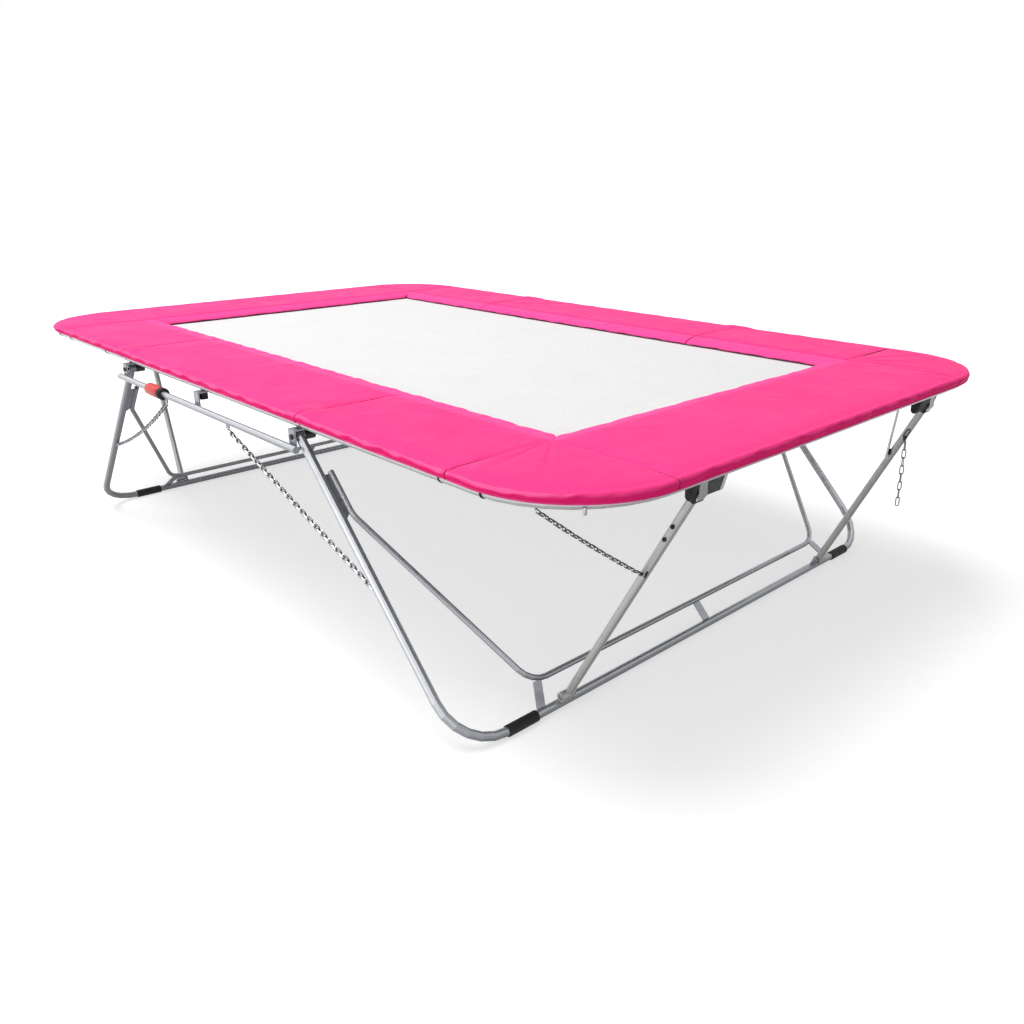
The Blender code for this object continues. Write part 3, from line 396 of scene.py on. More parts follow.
def outline_point(at, kind):
    """Where the outer face is: at an x along a side, at a y along an end, or so far round a corner."""
    if kind == "side":
        return Vector((at, OUTER_Y))
    if kind == "end":
        return Vector((OUTER_X, at))
    if at < CORNER_RUNS[0]:
        return Vector((OUTER_X, CREST_Y + at))
    angle = (at - CORNER_RUNS[0]) / CORNER_OUTER_RADIUS
    centre = Vector((OUTER_X - CORNER_OUTER_RADIUS, OUTER_Y - CORNER_OUTER_RADIUS))
    if angle > pi / 2:
        return Vector((centre.x - (at - CORNER_RUNS[0] - CORNER_RUNS[1]), OUTER_Y))
    return centre + Vector((cos(angle), sin(angle))) * CORNER_OUTER_RADIUS


def hinge_swell(x, y, spread):
    """How near a point is to a fold hinge, 1 over its knuckle and 0 beyond a soft slope."""
    away_x = max(0.0, abs(abs(x) - HINGE_X) - KNUCKLE_HALF_X) / spread
    away_y = max(0.0, abs(abs(y) - KNUCKLE_Y) - KNUCKLE_HALF_Y) / (spread * 0.7)
    near = max(0.0, 1 - hypot(away_x, away_y))
    return near * near * (3 - 2 * near)


def across_profile(crest, end, full_end, foot, hem, steps=16):
    """Points (inward, height, pinned share) of a cross-section, clockwise from the outer face's foot."""
    rise = SHOULDER - foot
    top = [(0.0135, foot, 1.0), (0.0062, foot + 0.0004, 1.0), (0.0030, foot + 0.0030, 1.0),
           (0.0042, foot + 0.0064, 1.0), (0.0074, foot + 0.0082, 0.8), (0.0022, foot + 0.58 * rise, 0.2),
           (0.0006, foot + 0.76 * rise, 0.1), (0.0018, SHOULDER, 0.1), (0.0060, 1.1634, 0.1), (0.0125, 1.1680, 0.3),
           (0.0200, 1.1688, 0.6), (0.0290, 1.1662, 1.0)]
    for k in range(steps):
        top.append((0.048 + (crest - 0.058 - 0.020) * k / (steps - 1), PAD_FLAT, 0.0))
    top.append((crest - 0.012, PAD_FLAT - 0.0004, 0.2))
    top.append((crest, CREST_TOP, 0.85))
    slope = (end - crest) / (full_end - crest) if full_end > crest else 0.0
    for k in range(1, FLAP_STEPS + 1):
        share = slope * k / FLAP_STEPS
        drop = share ** 2.0
        pinned = 0.15 if k < FLAP_STEPS - 1 else (0.6 if k == FLAP_STEPS - 1 else 1.0)
        top.append((crest + (full_end - crest) * share, CREST_TOP + (hem - CREST_TOP) * drop, pinned))
    bottom = [(0.0195, foot, 1.0), (0.0195, CHANNEL_SIDE, 1.0), (0.0260, CHANNEL_TOP, 1.0),
              (0.0600, CHANNEL_TOP, 1.0), (0.0680, UNDERSIDE + 0.001, 1.0)]
    for k in range(steps):
        bottom.append((0.085 + (crest - 0.110) * k / (steps - 1), UNDERSIDE, 1.0))
    bottom.append((crest, UNDERSIDE + 0.001, 1.0))
    for k in range(1, FLAP_STEPS + 1):
        share = slope * k / FLAP_STEPS
        height = UNDERSIDE + 0.001 + (HEM_LOW - UNDERSIDE - 0.001) * share
        bottom.append((crest + (full_end - crest) * share, height, 1.0))
    return top, bottom


def seam_dip(away):
    """How far the top falls beside a seam, where its edge is sewn down."""
    near = max(0.0, 1 - away / SEAM_DIP_REACH)
    return SEAM_DIP_DEPTH * near ** 1.6


def corner_fold(angle, share, seed):
    """Soft folds that fan out over a corner pad from its inner corner."""
    fan = sin(11.0 * angle + seed) + 0.6 * sin(23.0 * angle + 2 * seed)
    return 0.0070 * fan * share * min(1.0, 2.5 * (1 - share))


def ripple(x, y, seed):
    """A gentle unevenness of the sheet, the same each time."""
    return (
        sin(9.1 * x + 5.3 * y + seed) + sin(17.3 * x - 11.9 * y + 2.1 * seed)
        + 0.7 * sin(31.0 * x + 23.0 * y + 3.7 * seed)
    ) / 2.7


def pad_stations(start, stop, thread, spacing=0.024):
    """Positions along a pad: close together at its seams, even between them."""
    length = abs(stop - start)
    edge = [0.0, thread, 2.1 * thread, 0.0100, SEAM_ZONE]
    between = length - 2 * SEAM_ZONE
    inner = max(2, ceil(between / spacing))
    away = edge[:-1] + [SEAM_ZONE + between * k / inner for k in range(inner + 1)]
    away += [length - e for e in reversed(edge[:-1])]
    return [(start + (stop - start) * a / length, min(a, length - a)) for a in away]


def pad_reach(at, kind):
    """The outer face's point, the way inward, and how far in lie the crest, the whole flap and the flap's cut end."""
    outer = outline_point(at, kind)
    if kind == "side":
        inward, crest, full = Vector((0, -1)), OUTER_Y - CREST_Y, OUTER_Y - OPEN_Y
        beyond = max(0.0, (abs(at) - OPEN_X) / (CREST_X - OPEN_X))
    elif kind == "end":
        inward, crest, full = Vector((-1, 0)), OUTER_X - CREST_X, OUTER_X - OPEN_X
        beyond = max(0.0, (abs(at) - OPEN_Y) / (CREST_Y - OPEN_Y))
    else:
        apex = Vector((CREST_X, CREST_Y))
        inward = (apex - outer).normalized()
        crest = full = (apex - outer).length
        beyond = 0.0
    return outer, inward, crest, full, crest + (full - crest) * (1 - min(1.0, beyond))


def sort_pad_faces(made, rings, kind, part, edge):
    """Give each face of a pad its slot: cover, hem and bead, backing, or the darker strip beside a seam, painted shade
    for its sewn groove.
    """
    tops = len(rings[0][0])
    for upper, lower in rings:
        for k, vertex in enumerate(upper):
            hem = k in BEAD or kind != "corner" and k > tops - FLAP_STEPS - 1
            vertex[part] = HEM_PART if hem else COVER_PART
        for vertex in lower[:2]:
            vertex[part] = COVER_PART
        for vertex in lower[-2:]:
            vertex[part] = HEM_PART if kind != "corner" else BACK_PART
    for face in made.faces:
        parts = [v[part] for v in face.verts]
        if min(v[edge] for v in face.verts) > 0:
            face.material_index = SEAM_SLOT
        elif min(parts) == BACK_PART and len(parts) == 4:
            face.material_index = BACKING_SLOT
        else:
            face.material_index = HEM_SLOT if max(parts) == HEM_PART else COVER_SLOT


def pad(name, kind, start, stop, mirror, seed, far):
    """One pad as a closed sewn form, before it is filled; a far one's flap has settled nearer the bed."""
    thread = 0.0032 if far else 0.0027
    made = bmesh.new()
    held = made.verts.layers.float.new("held")
    part = made.verts.layers.float.new("part")
    edge = made.verts.layers.float.new("edge")
    sheet_rings = []
    for at, away in pad_stations(start, stop, thread):
        outer, inward, crest, full, end = pad_reach(at, kind)
        share = {"side": 1.0, "end": 0.0}.get(kind, min(1.0, at / CORNER_LENGTH))
        foot = END_FOOT + (SIDE_FOOT - END_FOOT) * share * share * (3 - 2 * share)
        top, bottom = across_profile(crest, end, full, foot, HEM_TOP_FAR if far else HEM_TOP)
        if kind == "corner":
            top, bottom = top[:-FLAP_STEPS], bottom[:-FLAP_STEPS]
        ring = []
        for group, points in (("top", top), ("bottom", bottom)):
            row = []
            for u, z, pinned in points:
                spot = outer + inward * u
                swell = hinge_swell(spot.x, spot.y, 0.105) if kind == "side" else 0.0
                hidden = hinge_swell(spot.x, spot.y, 0.030) if kind == "side" else 0.0
                inner = min(1.0, max(0.0, (u - crest) / 0.08))
                lift = 0.0036 * inner * (0.7 + ripple(2.6 * spot.x, 2.6 * spot.y, seed))
                if group == "top" and (z > 1.150 or u > 0.1):
                    z += swell * (KNUCKLE_TOP + 0.0062 - z) - seam_dip(away) * (1 - swell) + lift
                    if 0.05 < u < crest - 0.03:
                        z += 0.0012 * ripple(spot.x, spot.y, seed)
                        if kind == "corner":
                            z += corner_fold(at / CORNER_OUTER_RADIUS, u / crest, seed)
                    if u > crest + 0.9 * (full - crest):
                        spot += inward * 0.0045 * ripple(1.9 * spot.x, 1.9 * spot.y, seed + 2)
                elif group == "bottom" and u > 0.02:
                    z += hidden * (KNUCKLE_TOP + 0.0018 - z) if u < 0.14 else lift
                elif group == "top":
                    spot += inward * (0.0014 * (1 + ripple(spot.x, spot.y, seed)) + 0.5 * seam_dip(away))
                if away < 2.5 * thread:
                    pinned = 1.0
                vertex = made.verts.new(Vector((spot.x * mirror[0], spot.y * mirror[1], z)))
                vertex[held] = pinned
                vertex[edge] = 1.0 if away < 1.2 * thread else 0.0
                row.append(vertex)
            ring.append(row)
        sheet_rings.append(ring)
    loops = [upper + lower[::-1] for upper, lower in sheet_rings]
    for one, two in zip(loops, loops[1:]):
        for k in range(len(one)):
            n = (k + 1) % len(one)
            made.faces.new((one[k], one[n], two[n], two[k]))
    made.faces.new(loops[0])
    made.faces.new(loops[-1])
    sort_pad_faces(made, sheet_rings, kind, part, edge)
    bmesh.ops.remove_doubles(made, verts=made.verts, dist=2e-5)
    piece = piece_from(made, name, VINYL, smooth=180.0)
    for finish in (HEM_VINYL, BACKING, SEAM):
        piece.data.materials.append(finish)
    return piece


def fill(pieces, pressure=2.6, slack=0.008, cap=0.006, ceiling=1.1755):
    """Fill sewn pads with the cloth solver, then keep only the shape."""
    rests = {}
    for piece in pieces:
        mesh = piece.data
        held = [0.0] * len(mesh.vertices)
        mesh.attributes["held"].data.foreach_get("value", held)
        group = piece.vertex_groups.new(name="held")
        for k, weight in enumerate(held):
            if weight > 0:
                group.add([k], weight, "REPLACE")
        rests[piece.name] = np.array([v.co for v in mesh.vertices])
        cloth = piece.modifiers.new("cloth", "CLOTH")
        settings = cloth.settings
        settings.quality = 5
        settings.mass = 0.25
        settings.tension_stiffness = settings.compression_stiffness = 14
        settings.shear_stiffness = 6
        settings.bending_stiffness = 0.6
        settings.air_damping = 2.0
        settings.vertex_group_mass = "held"
        settings.use_pressure = True
        settings.uniform_pressure_force = pressure
        settings.shrink_min = -slack
        settings.effector_weights.gravity = 0.0
        cloth.collision_settings.use_collision = False
        cloth.point_cache.frame_start = 1
        cloth.point_cache.frame_end = FILL_FRAMES
    scene = bpy.context.scene
    for k in range(1, FILL_FRAMES + 1):
        scene.frame_set(k)
    graph = bpy.context.evaluated_depsgraph_get()
    for piece in pieces:
        shape = piece.evaluated_get(graph).to_mesh()
        now = np.array([v.co for v in shape.vertices])
        rest = rests[piece.name]
        move = now - rest
        size = np.linalg.norm(move, axis=1)
        move *= (np.minimum(size, cap) / np.maximum(size, 1e-9))[:, None]
        place = rest + move
        roof = np.maximum(rest[:, 2], ceiling)
        place[:, 2] = np.minimum(place[:, 2], roof)
        piece.modifiers.clear()
        piece.data.vertices.foreach_set("co", place.astype(np.float32).ravel())
        piece.data.update()
    scene.frame_set(1)


def pads():
    """Twelve pads: two on the middle section, and a side pair, a corner pair and an end at each end."""
    made = []
    for side in BOTH:
        name = f"pad_middle_{side_word(side)}"
        piece = pad("cover_" + name, "side", -HINGE_X + SEAM_GAP, HINGE_X - SEAM_GAP, (1, side), 1.3 + side, side > 0)
        made.append((piece, name, "middle"))
        for end in BOTH:
            body = "end_" + end_word(end)
            name = f"pad_side_{end_word(end)}_{side_word(side)}"
            seed = 3.1 * end + 1.7 * side
            run = (HINGE_X + SEAM_GAP, CREST_X - 2 * SEAM_GAP)
            piece = pad("cover_" + name, "side", *run, (end, side), seed, side > 0)
            made.append((piece, name, body))
            name = f"pad_corner_{end_word(end)}_{side_word(side)}"
            far = end < 0 or side > 0
            piece = pad("cover_" + name, "corner", 0.0, CORNER_LENGTH, (end, side), seed + 5, far)
            made.append((piece, name, body))
    for end in BOTH:
        body, name = "end_" + end_word(end), f"pad_end_{end_word(end)}"
        run = (-CREST_Y + SEAM_GAP, CREST_Y - SEAM_GAP)
        piece = pad("cover_" + name, "end", *run, (end, 1), 8.2 * end, end < 0)
        made.append((piece, name, body))
    fill([piece for piece, _, _ in made])
    for piece, name, body in made:
        smooth = piece.modifiers.new("smooth", "SUBSURF")
        smooth.levels = smooth.render_levels = 1
        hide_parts(name)
        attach(piece, body)
        if body != "middle":
            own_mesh(piece)


# The bed and its webbing
def bed_half(end):
    """Half the bed: one sheet from the middle of the length to the end webbing."""
    made = bmesh.new()
    xs = [BED_X * k / 60 for k in range(61)] + [HINGE_X + 0.004 * k for k in range(-11, 12)]
    xs = sorted(set(round(x, 5) for x in xs))
    ys = [BED_Y * k / 30 for k in range(-30, 31)]
    rows = []
    for x in xs:
        row = []
        for y in ys:
            slack = (1 - (x / BED_X) ** 2) * (1 - (y / BED_Y) ** 2)
            z = BED_TOP - 0.0010 - 0.0060 * slack + 0.0006 * ripple(x * 1.4, y * 1.4, 4.0)
            row.append(made.verts.new((end * x, y, z)))
        rows.append(row)
    for one, two in zip(rows, rows[1:]):
        for k in range(len(ys) - 1):
            made.faces.new((one[k], one[k + 1], two[k + 1], two[k]))
    piece = piece_from(made, f"bed_sheet_{end_word(end)}", BED, smooth=180.0)
    if piece.data.polygons[0].normal.z < 0:
        piece.data.flip_normals()
    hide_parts("bed_middle", f"bed_{end_word(end)}")
    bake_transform(piece)


def teeth(start, stop, pitch=0.110):
    count = max(1, round((stop - start) / pitch))
    return [start + (stop - start) * k / count for k in range(count + 1)]


def coil(made, bed_side, rail_side):
    """A coil spring with a straight hook wire at each end."""
    run = rail_side - bed_side
    ahead, length = run.normalized(), run.length
    path, radii = [bed_side, bed_side + ahead * HOOK_RUN], [HOOK_WIRE, HOOK_WIRE]
    body = length - 2 * HOOK_RUN
    turns = int(body / COIL_STEP)
    for k in range(turns + 1):
        path.append(bed_side + ahead * (HOOK_RUN + COIL_INSET + (body - 2 * COIL_INSET) * k / turns))
        radii.append(COIL_RIDGE if k % 2 else COIL_GROOVE)
    path += [rail_side - ahead * HOOK_RUN, rail_side]
    radii += [HOOK_WIRE, HOOK_WIRE]
    sweep(made, path, radii, sides=8)


def strip(made, corners, half_thick):
    """A flat band from plan points, at the height of the bed."""
    middle = BED_TOP - 0.003
    low = [made.verts.new((x, y, middle - half_thick)) for x, y in corners]
    high = [made.verts.new((x, y, middle + half_thick)) for x, y in corners]
    made.faces.new(low)
    made.faces.new(high)
    for k in range(len(corners)):
        n = (k + 1) % len(corners)
        made.faces.new((low[k], low[n], high[n], high[k]))


def springs_and_webbing():
    hooked = WEB_WIDTH - WEB_OVERLAP
    reach = RAIL_R + 0.0004
    half = HINGE_X - RAIL_JOINT_GAP
    z = RAIL_Z
    for side in BOTH:
        made = bmesh.new()
        for x in teeth(-half + SPRING_MARGIN, half - SPRING_MARGIN):
            coil(made, Vector((x, side * (BED_Y + hooked), z)), Vector((x, side * (RAIL_Y - reach), z)))
        piece = piece_from(made, f"coils_middle_{side_word(side)}", SPRING, "middle", 60.0)
        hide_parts(f"springs_middle_{side_word(side)}")
        made = bmesh.new()
        ys = sorted((side * BED_Y, side * (BED_Y + WEB_WIDTH)))
        strip(made, [(-half, ys[0]), (half, ys[0]), (half, ys[1]), (-half, ys[1])], WEB_HALF_THICK)
        piece_from(made, f"webbing_middle_{side_word(side)}", WEBBING, "middle")
    for end in BOTH:
        body = "end_" + end_word(end)
        made = bmesh.new()
        start = HINGE_X + RAIL_JOINT_GAP
        for x in teeth(start + SPRING_MARGIN, RAIL_X - RAIL_CORNER - SPRING_WIDTH):
            for side in BOTH:
                inner, outer = side * (BED_Y + hooked), side * (RAIL_Y - reach)
                coil(made, Vector((end * x, inner, z)), Vector((end * x, outer, z)))
        limit = RAIL_Y - RAIL_CORNER - SPRING_WIDTH
        for y in teeth(-limit, limit):
            coil(made, Vector((end * (BED_X + hooked), y, z)), Vector((end * (RAIL_X - reach), y, z)))
        piece = piece_from(made, f"coils_{end_word(end)}", SPRING, body, 60.0)
        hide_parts(f"springs_{end_word(end)}")
        made = bmesh.new()
        far, wide = BED_X + WEB_WIDTH, BED_Y + WEB_WIDTH
        points = [(start, -BED_Y), (start, -wide), (far, -wide), (far, wide), (start, wide), (start, BED_Y),
                  (BED_X, BED_Y), (BED_X, -BED_Y)]
        strip(made, [(end * x, y) for x, y in points], WEB_HALF_THICK)
        piece_from(made, f"webbing_{end_word(end)}", WEBBING, body)


# Chains
def oval_link(made, centre, ahead, side, length, width, wire):
    """One chain link, its long way along the chain."""
    bend = (width - wire) / 2
    straight = (length - width) / 2
    path = []
    for tip in (1, -1):
        for k in range(7):
            angle = -pi / 2 + pi * k / 6
            along = tip * (straight + bend * cos(angle))
            path.append(centre + ahead * along + side * (tip * bend * sin(angle)))
    sweep(made, path, wire / 2, sides=6, closed=True, flat=ahead.cross(side))


def along_route(points, away):
    for one, two in zip(points, points[1:]):
        step = (two - one).length
        if away <= step:
            return one.lerp(two, away / step), (two - one).normalized()
        away -= step
    return points[-1], (points[-1] - points[-2]).normalized()


def link_chain(name, node, points, pitches, width, wire, body=None, roll=0.6):
    """A chain of real links along a route; pitches repeat along it."""
    made = bmesh.new()
    total = sum((b - a).length for a, b in zip(points, points[1:]))
    mean = sum(pitches) / len(pitches)
    count = max(2, round(total / mean))
    steps = [pitches[k % len(pitches)] for k in range(count)]
    share = total / sum(steps)
    away = 0.0
    for k, step in enumerate(steps):
        step *= share
        spot, ahead = along_route(points, away + step / 2)
        away += step
        across = ahead.cross(Vector((0.2, 0.9, 0.4))).normalized()
        turn = Matrix.Rotation(roll + (pi / 2 if k % 2 else 0.0) + 0.12 * sin(2.3 * k), 3, ahead)
        done = len(made.faces)
        oval_link(made, spot, ahead, turn @ across, step + 2 * wire, width, wire)
        made.faces.ensure_lookup_table()
        # Every other link takes the second slot, which on the steel chains is painted shade.
        for face in made.faces[done:]:
            face.material_index = k % 2
    piece = piece_from(made, name, CHAIN, body, 60.0)
    piece.data.materials.append(CHAIN_DARK)
    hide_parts(node)
    return piece


def sagging(start, stop, sag, steps=24):
    return [
        start.lerp(stop, k / steps) - Vector((0, 0, 4 * sag * (k / steps) * (1 - k / steps)))
        for k in range(steps + 1)
    ]


LEG_TOP = Vector((0.930, 1.511, 1.072))
LEG_RUN, LEG_FALL = 1.010, 1.0485
LEG_LENGTH = hypot(LEG_RUN, LEG_FALL)
LEG_CHAIN_TOP = (0.350, 1.560, 0.9878)      # of the front right one; the others mirror it
LEG_CHAIN_ALONG, LEG_TUBE_FACE = 0.720, 0.0282
CORNER_CHAIN_TOP, CORNER_CHAIN_FOOT = (2.300, -1.4411, 1.0948), (2.30185, -0.928111, 0.7055)
LOOSE_CHAIN_TOP, LOOSE_CHAIN_DROP = (2.4110, 0.8770, 0.8590), 0.330


def leg_point(end, along, y):
    share = along / LEG_LENGTH
    return Vector((end * (LEG_TOP.x + LEG_RUN * share), y, LEG_TOP.z - LEG_FALL * share))


def chains():
    for end in BOTH:
        for side in BOTH:
            top = Vector((end * LEG_CHAIN_TOP[0], side * LEG_CHAIN_TOP[1], LEG_CHAIN_TOP[2]))
            bottom = leg_point(end, LEG_CHAIN_ALONG, side * LEG_TOP.y)
            bottom -= Vector((end * LEG_FALL, 0, LEG_RUN)).normalized() * LEG_TUBE_FACE
            word = f"{end_word(end)}_{side_word(side)}"
            route = sagging(top, bottom, 0.004 if end > 0 else 0.035)
            piece = link_chain(f"links_leg_{word}", f"leg_chain_{word}", route, [0.0270], 0.0235, 0.0080, roll=0.75)
            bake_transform(piece)
    route = sagging(Vector(CORNER_CHAIN_TOP), Vector(CORNER_CHAIN_FOOT), 0.008)
    link_chain("links_corner", "corner_chain", route, [0.0235], 0.0195, 0.0058, "corner_chain", 0.75)
    top = Vector(LOOSE_CHAIN_TOP)
    drop = [top - Vector((0, 0, LOOSE_CHAIN_DROP * k / 12)) for k in range(13)]
    piece = link_chain("links_loose", "loose_chain", drop, [0.0410], 0.0225, 0.0056, "loose_chain", roll=0.62)
    piece.data.materials[0] = piece.data.materials[1] = LOOSE


# Braces' fittings
BAR_X, BAR_Z, BAR_R = 2.487, 1.052, 0.0170  # the bar under the end rail that a brace hooks over
BRACE_FOOT = Vector((1.958, 0.972, 0.062))
BRACE_HEAD = Vector((BAR_X, 0.870, BAR_Z))


def brace_point(end, side, share):
    spot = BRACE_FOOT.lerp(BRACE_HEAD, share)
    return Vector((end * spot.x, side * spot.y, spot.z))


def rounded_bar(made, start, stop, radius, sides=12, soften=0.25):
    """A short bar whose two ends are rounded over."""
    ahead = (stop - start).normalized()
    lip = min(radius * soften * 2, (stop - start).length * 0.35)
    path = [start, start + ahead * lip * 0.3, start + ahead * lip, stop - ahead * lip, stop - ahead * lip * 0.3, stop]
    sweep(made, path, [radius * k for k in (1 - soften, 1 - soften * 0.35, 1, 1, 1 - soften * 0.35, 1 - soften)], sides)


SEAT_INNER, SEAT_OUTER = 0.752, 0.912
STRAP_MIDDLE, STRAP_HALF = 0.8680, 0.0225


def extrude(made, outline, low, high, bevel=0.0):
    """A flat outline in X and Z given a thickness across the trampoline, its rims softened."""
    rings = []
    middle = sum((Vector(p) for p in outline), Vector((0, 0))) / len(outline)
    for y, lean in ((low, 1), (low + bevel, 0), (high - bevel, 0), (high, 1)) if bevel else ((low, 0), (high, 0)):
        ring = []
        for p in outline:
            p = Vector(p)
            p = p - (p - middle).normalized() * bevel * lean
            ring.append(made.verts.new((p.x, y, p.y)))
        rings.append(ring)
    for one, two in zip(rings, rings[1:]):
        for k in range(len(one)):
            n = (k + 1) % len(one)
            made.faces.new((one[k], one[n], two[n], two[k]))
    made.faces.new(rings[0])
    made.faces.new(rings[-1])


def seat_outline(end, bar, spread=0.0):
    """Round the seat's bar below, and upright from it to the end rail above."""
    tilt = radians(14)
    points = []
    for k in range(13):
        angle = -tilt - (pi - tilt) * k / 12
        points.append((BAR_X + bar * cos(angle), BAR_Z + bar * sin(angle)))
    points += [(BAR_X - bar, RAIL_Z - 0.020), (RAIL_X - 0.018, RAIL_Z - 0.003),
               (RAIL_X + 0.003 + spread, RAIL_Z - 0.013)]
    return [(end * x, z) for x, z in points]


SHOE = ((-0.0250, -0.012), (-0.0250, 0.0180), (-0.0190, 0.0240), (-0.0060, 0.0243), (-0.0060, 0.0172),
        (-0.0165, 0.0110), (-0.0168, -0.012))


def brace_hook(end, side, word, up, out):
    """A brace's hook over its seat: the steel strap outside and the rubber shoe inside."""
    low, high = sorted((side * (STRAP_MIDDLE - STRAP_HALF), side * (STRAP_MIDDLE + STRAP_HALF)))
    bar = Vector((BAR_X, 0, BAR_Z))
    rises = ((0.0305, -0.002), (0.0318, 0.010), (0.0305, 0.033), (0.0335, 0.0515))
    route = [bar + out * 0.0245 - up * 0.010] + [bar + Vector((x, 0, z)) for x, z in rises]
    strap = route + [p - out * 0.0030 for p in reversed(route)]
    made = bmesh.new()
    extrude(made, [(end * p.x, p.z) for p in strap], low, high)
    piece_from(made, f"hook_strap_{word}", GALVANISED, "brace_" + word)
    made = bmesh.new()
    points = [bar + up * rise + out * lean for rise, lean in SHOE]
    extrude(made, [(end * p.x, p.z) for p in points], low - 0.001, high + 0.001)
    piece_from(made, f"hook_shoe_{word}", RUBBER, "brace_" + word)


def hook_seats():
    """Rubber saddles under the end rails, end plates on the left-hand ones, and the brace hooks over them."""
    up = (BRACE_HEAD - BRACE_FOOT).normalized()
    up = Vector((up.x, 0, up.z)).normalized()
    out = Vector((up.z, 0, -up.x))
    for end in BOTH:
        body = "end_" + end_word(end)
        for side in BOTH:
            word = f"{end_word(end)}_{side_word(side)}"
            made = bmesh.new()
            extrude(made, seat_outline(end, BAR_R), *sorted((side * SEAT_INNER, side * SEAT_OUTER)), bevel=0.003)
            piece = piece_from(made, f"hook_seat_{word}", RUBBER, body)
            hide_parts(f"cradle_{word}", f"cradle_rubber_{word}")
            if side < 0:
                made = bmesh.new()
                low, high = sorted((side * (SEAT_INNER - 0.018), side * SEAT_INNER))
                extrude(made, seat_outline(end, BAR_R + 0.0012, 0.0015), low, high, bevel=0.001)
                piece_from(made, f"seat_plate_{word}", RAIL, body)
            brace_hook(end, side, word, up, out)


def rail_rings_and_pegs(end):
    """Black rings where the end rail's tubes meet, and the pegs under its corners."""
    body = "end_" + end_word(end)
    half, radius = 0.0042, RAIL_R + 0.0028
    rings, pegs = bmesh.new(), bmesh.new()
    for side in BOTH:
        for x in [1.900] + ([1.280] if end < 0 else []):
            at = Vector((end * x, side * RAIL_Y, RAIL_Z))
            rounded_bar(rings, at - Vector((half, 0, 0)), at + Vector((half, 0, 0)), radius, 20, 0.05)
        for turn in (5.0, 50.0):
            angle = radians(turn)
            out = Vector((end * sin(angle), side * cos(angle), 0))
            at = Vector((end * (RAIL_X - RAIL_CORNER), side * (RAIL_Y - RAIL_CORNER), RAIL_Z)) + out * RAIL_CORNER
            ahead = Vector((end * cos(angle), -side * sin(angle), 0))
            if turn < 10:
                rounded_bar(rings, at - ahead * half, at + ahead * half, radius, 20, 0.05)
            else:
                spot = at + out * (RAIL_R + 0.0010)
                rounded_bar(pegs, spot + Vector((0, 0, -0.0065)), spot + Vector((0, 0, -0.0330)), 0.0066, 14, 0.4)
    piece_from(rings, f"joint_rings_{end_word(end)}", RUBBER, body)
    piece_from(pegs, f"corner_pegs_{end_word(end)}", GALVANISED, body)


def near_brace_fittings():
    """Two spring buttons on the near brace, and the hook that the corner chain hangs from."""
    along = (BRACE_HEAD - BRACE_FOOT).normalized()
    out = Vector((along.z, 0, -along.x))
    face = Vector((0.05, -1.0, 0.0))
    made = bmesh.new()
    for share in (0.810, 0.866):
        spot = brace_point(1, -1, share) + face * 0.0145
        rounded_bar(made, spot, spot + face * 0.0100, 0.0088, 14, 0.3)
    piece_from(made, "brace_buttons", RUBBER, "brace_front_left")
    made = bmesh.new()
    spot = brace_point(1, -1, 0.655) + out * 0.0110 + Vector((0, -0.0130, 0))
    rounded_bar(made, spot - along * 0.016 + out * 0.001, spot + along * 0.016 + out * 0.001, 0.0050, 12, 0.4)
    spot = brace_point(1, -1, 0.650) + Vector((0, -0.0185, 0))
    rounded_bar(made, spot, spot - Vector((0, 0.012, 0)), 0.0055, 12, 0.3)
    piece_from(made, "corner_chain_hook", DARK, "brace_front_left")


def far_brace_fittings():
    """The loose chain's eye on the far brace, and the clip with its thin rod."""
    made = bmesh.new()
    face = Vector((0.45, -0.88, 0.0)).normalized()
    rise = brace_point(1, 1, 1) - brace_point(1, 1, 0)
    rise.normalize()
    eye = brace_point(1, 1, 0.850) + face * 0.0190
    oval_link(made, eye, rise, face.cross(rise), 0.056, 0.022, 0.0052)
    spot = brace_point(1, 1, 0.826) + face * 0.0200 + Vector((0.006, 0, -0.004))
    rounded_bar(made, spot - rise * 0.010, spot + rise * 0.010, 0.0075, 12, 0.4)
    piece_from(made, "loose_chain_hook", DARK, "brace_front_right")
    made = bmesh.new()
    foot = brace_point(1, 1, 0.735) + Vector((-0.013, -0.020, 0))
    rounded_bar(made, foot - Vector((-0.003, 0, 0.014)), foot + Vector((0.006, 0.006, 0.016)), 0.0075, 12, 0.3)
    piece_from(made, "brace_clip", RUBBER, "brace_front_right")
    made = bmesh.new()
    foot += Vector((-0.006, -0.002, 0))
    sweep(made, [foot - Vector((0.004, 0.004, 0.026)), foot, foot + Vector((0.003, 0.010, 0.060)),
                 foot + Vector((0.008, 0.030, 0.160)), foot + Vector((0.010, 0.038, 0.215))], 0.0060, 8)
    piece_from(made, "brace_rod", GALVANISED, "brace_front_right")


GRIP_RADIUS = 0.0308
GRIP_SHARES = ((0.0, 0.70), (0.012, 0.90), (0.045, 1.0), (0.30, 1.03), (0.60, 1.03), (0.800, 1.0), (0.812, 0.96))
CAP_SHARES = ((0.812, 0.95), (0.825, 1.02), (0.960, 1.02), (0.990, 0.94), (1.0, 0.70))


def red_grip():
    """The red sleeve on the lower rail and its black cap, turned to shares of its length and radius."""
    low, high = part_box("red_sleeve")
    y, z = (low.y + high.y) / 2, (low.z + high.z) / 2
    run = high.x - low.x
    for name, finish, shares in (("red_grip", RED, GRIP_SHARES), ("grip_cap", RUBBER, CAP_SHARES)):
        made = bmesh.new()
        sweep(made, [Vector((low.x + run * a, y, z)) for a, _ in shares], [GRIP_RADIUS * r for _, r in shares], 28)
        piece = piece_from(made, name, finish, "middle", 50.0)
        if finish is RED:
            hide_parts("red_sleeve")


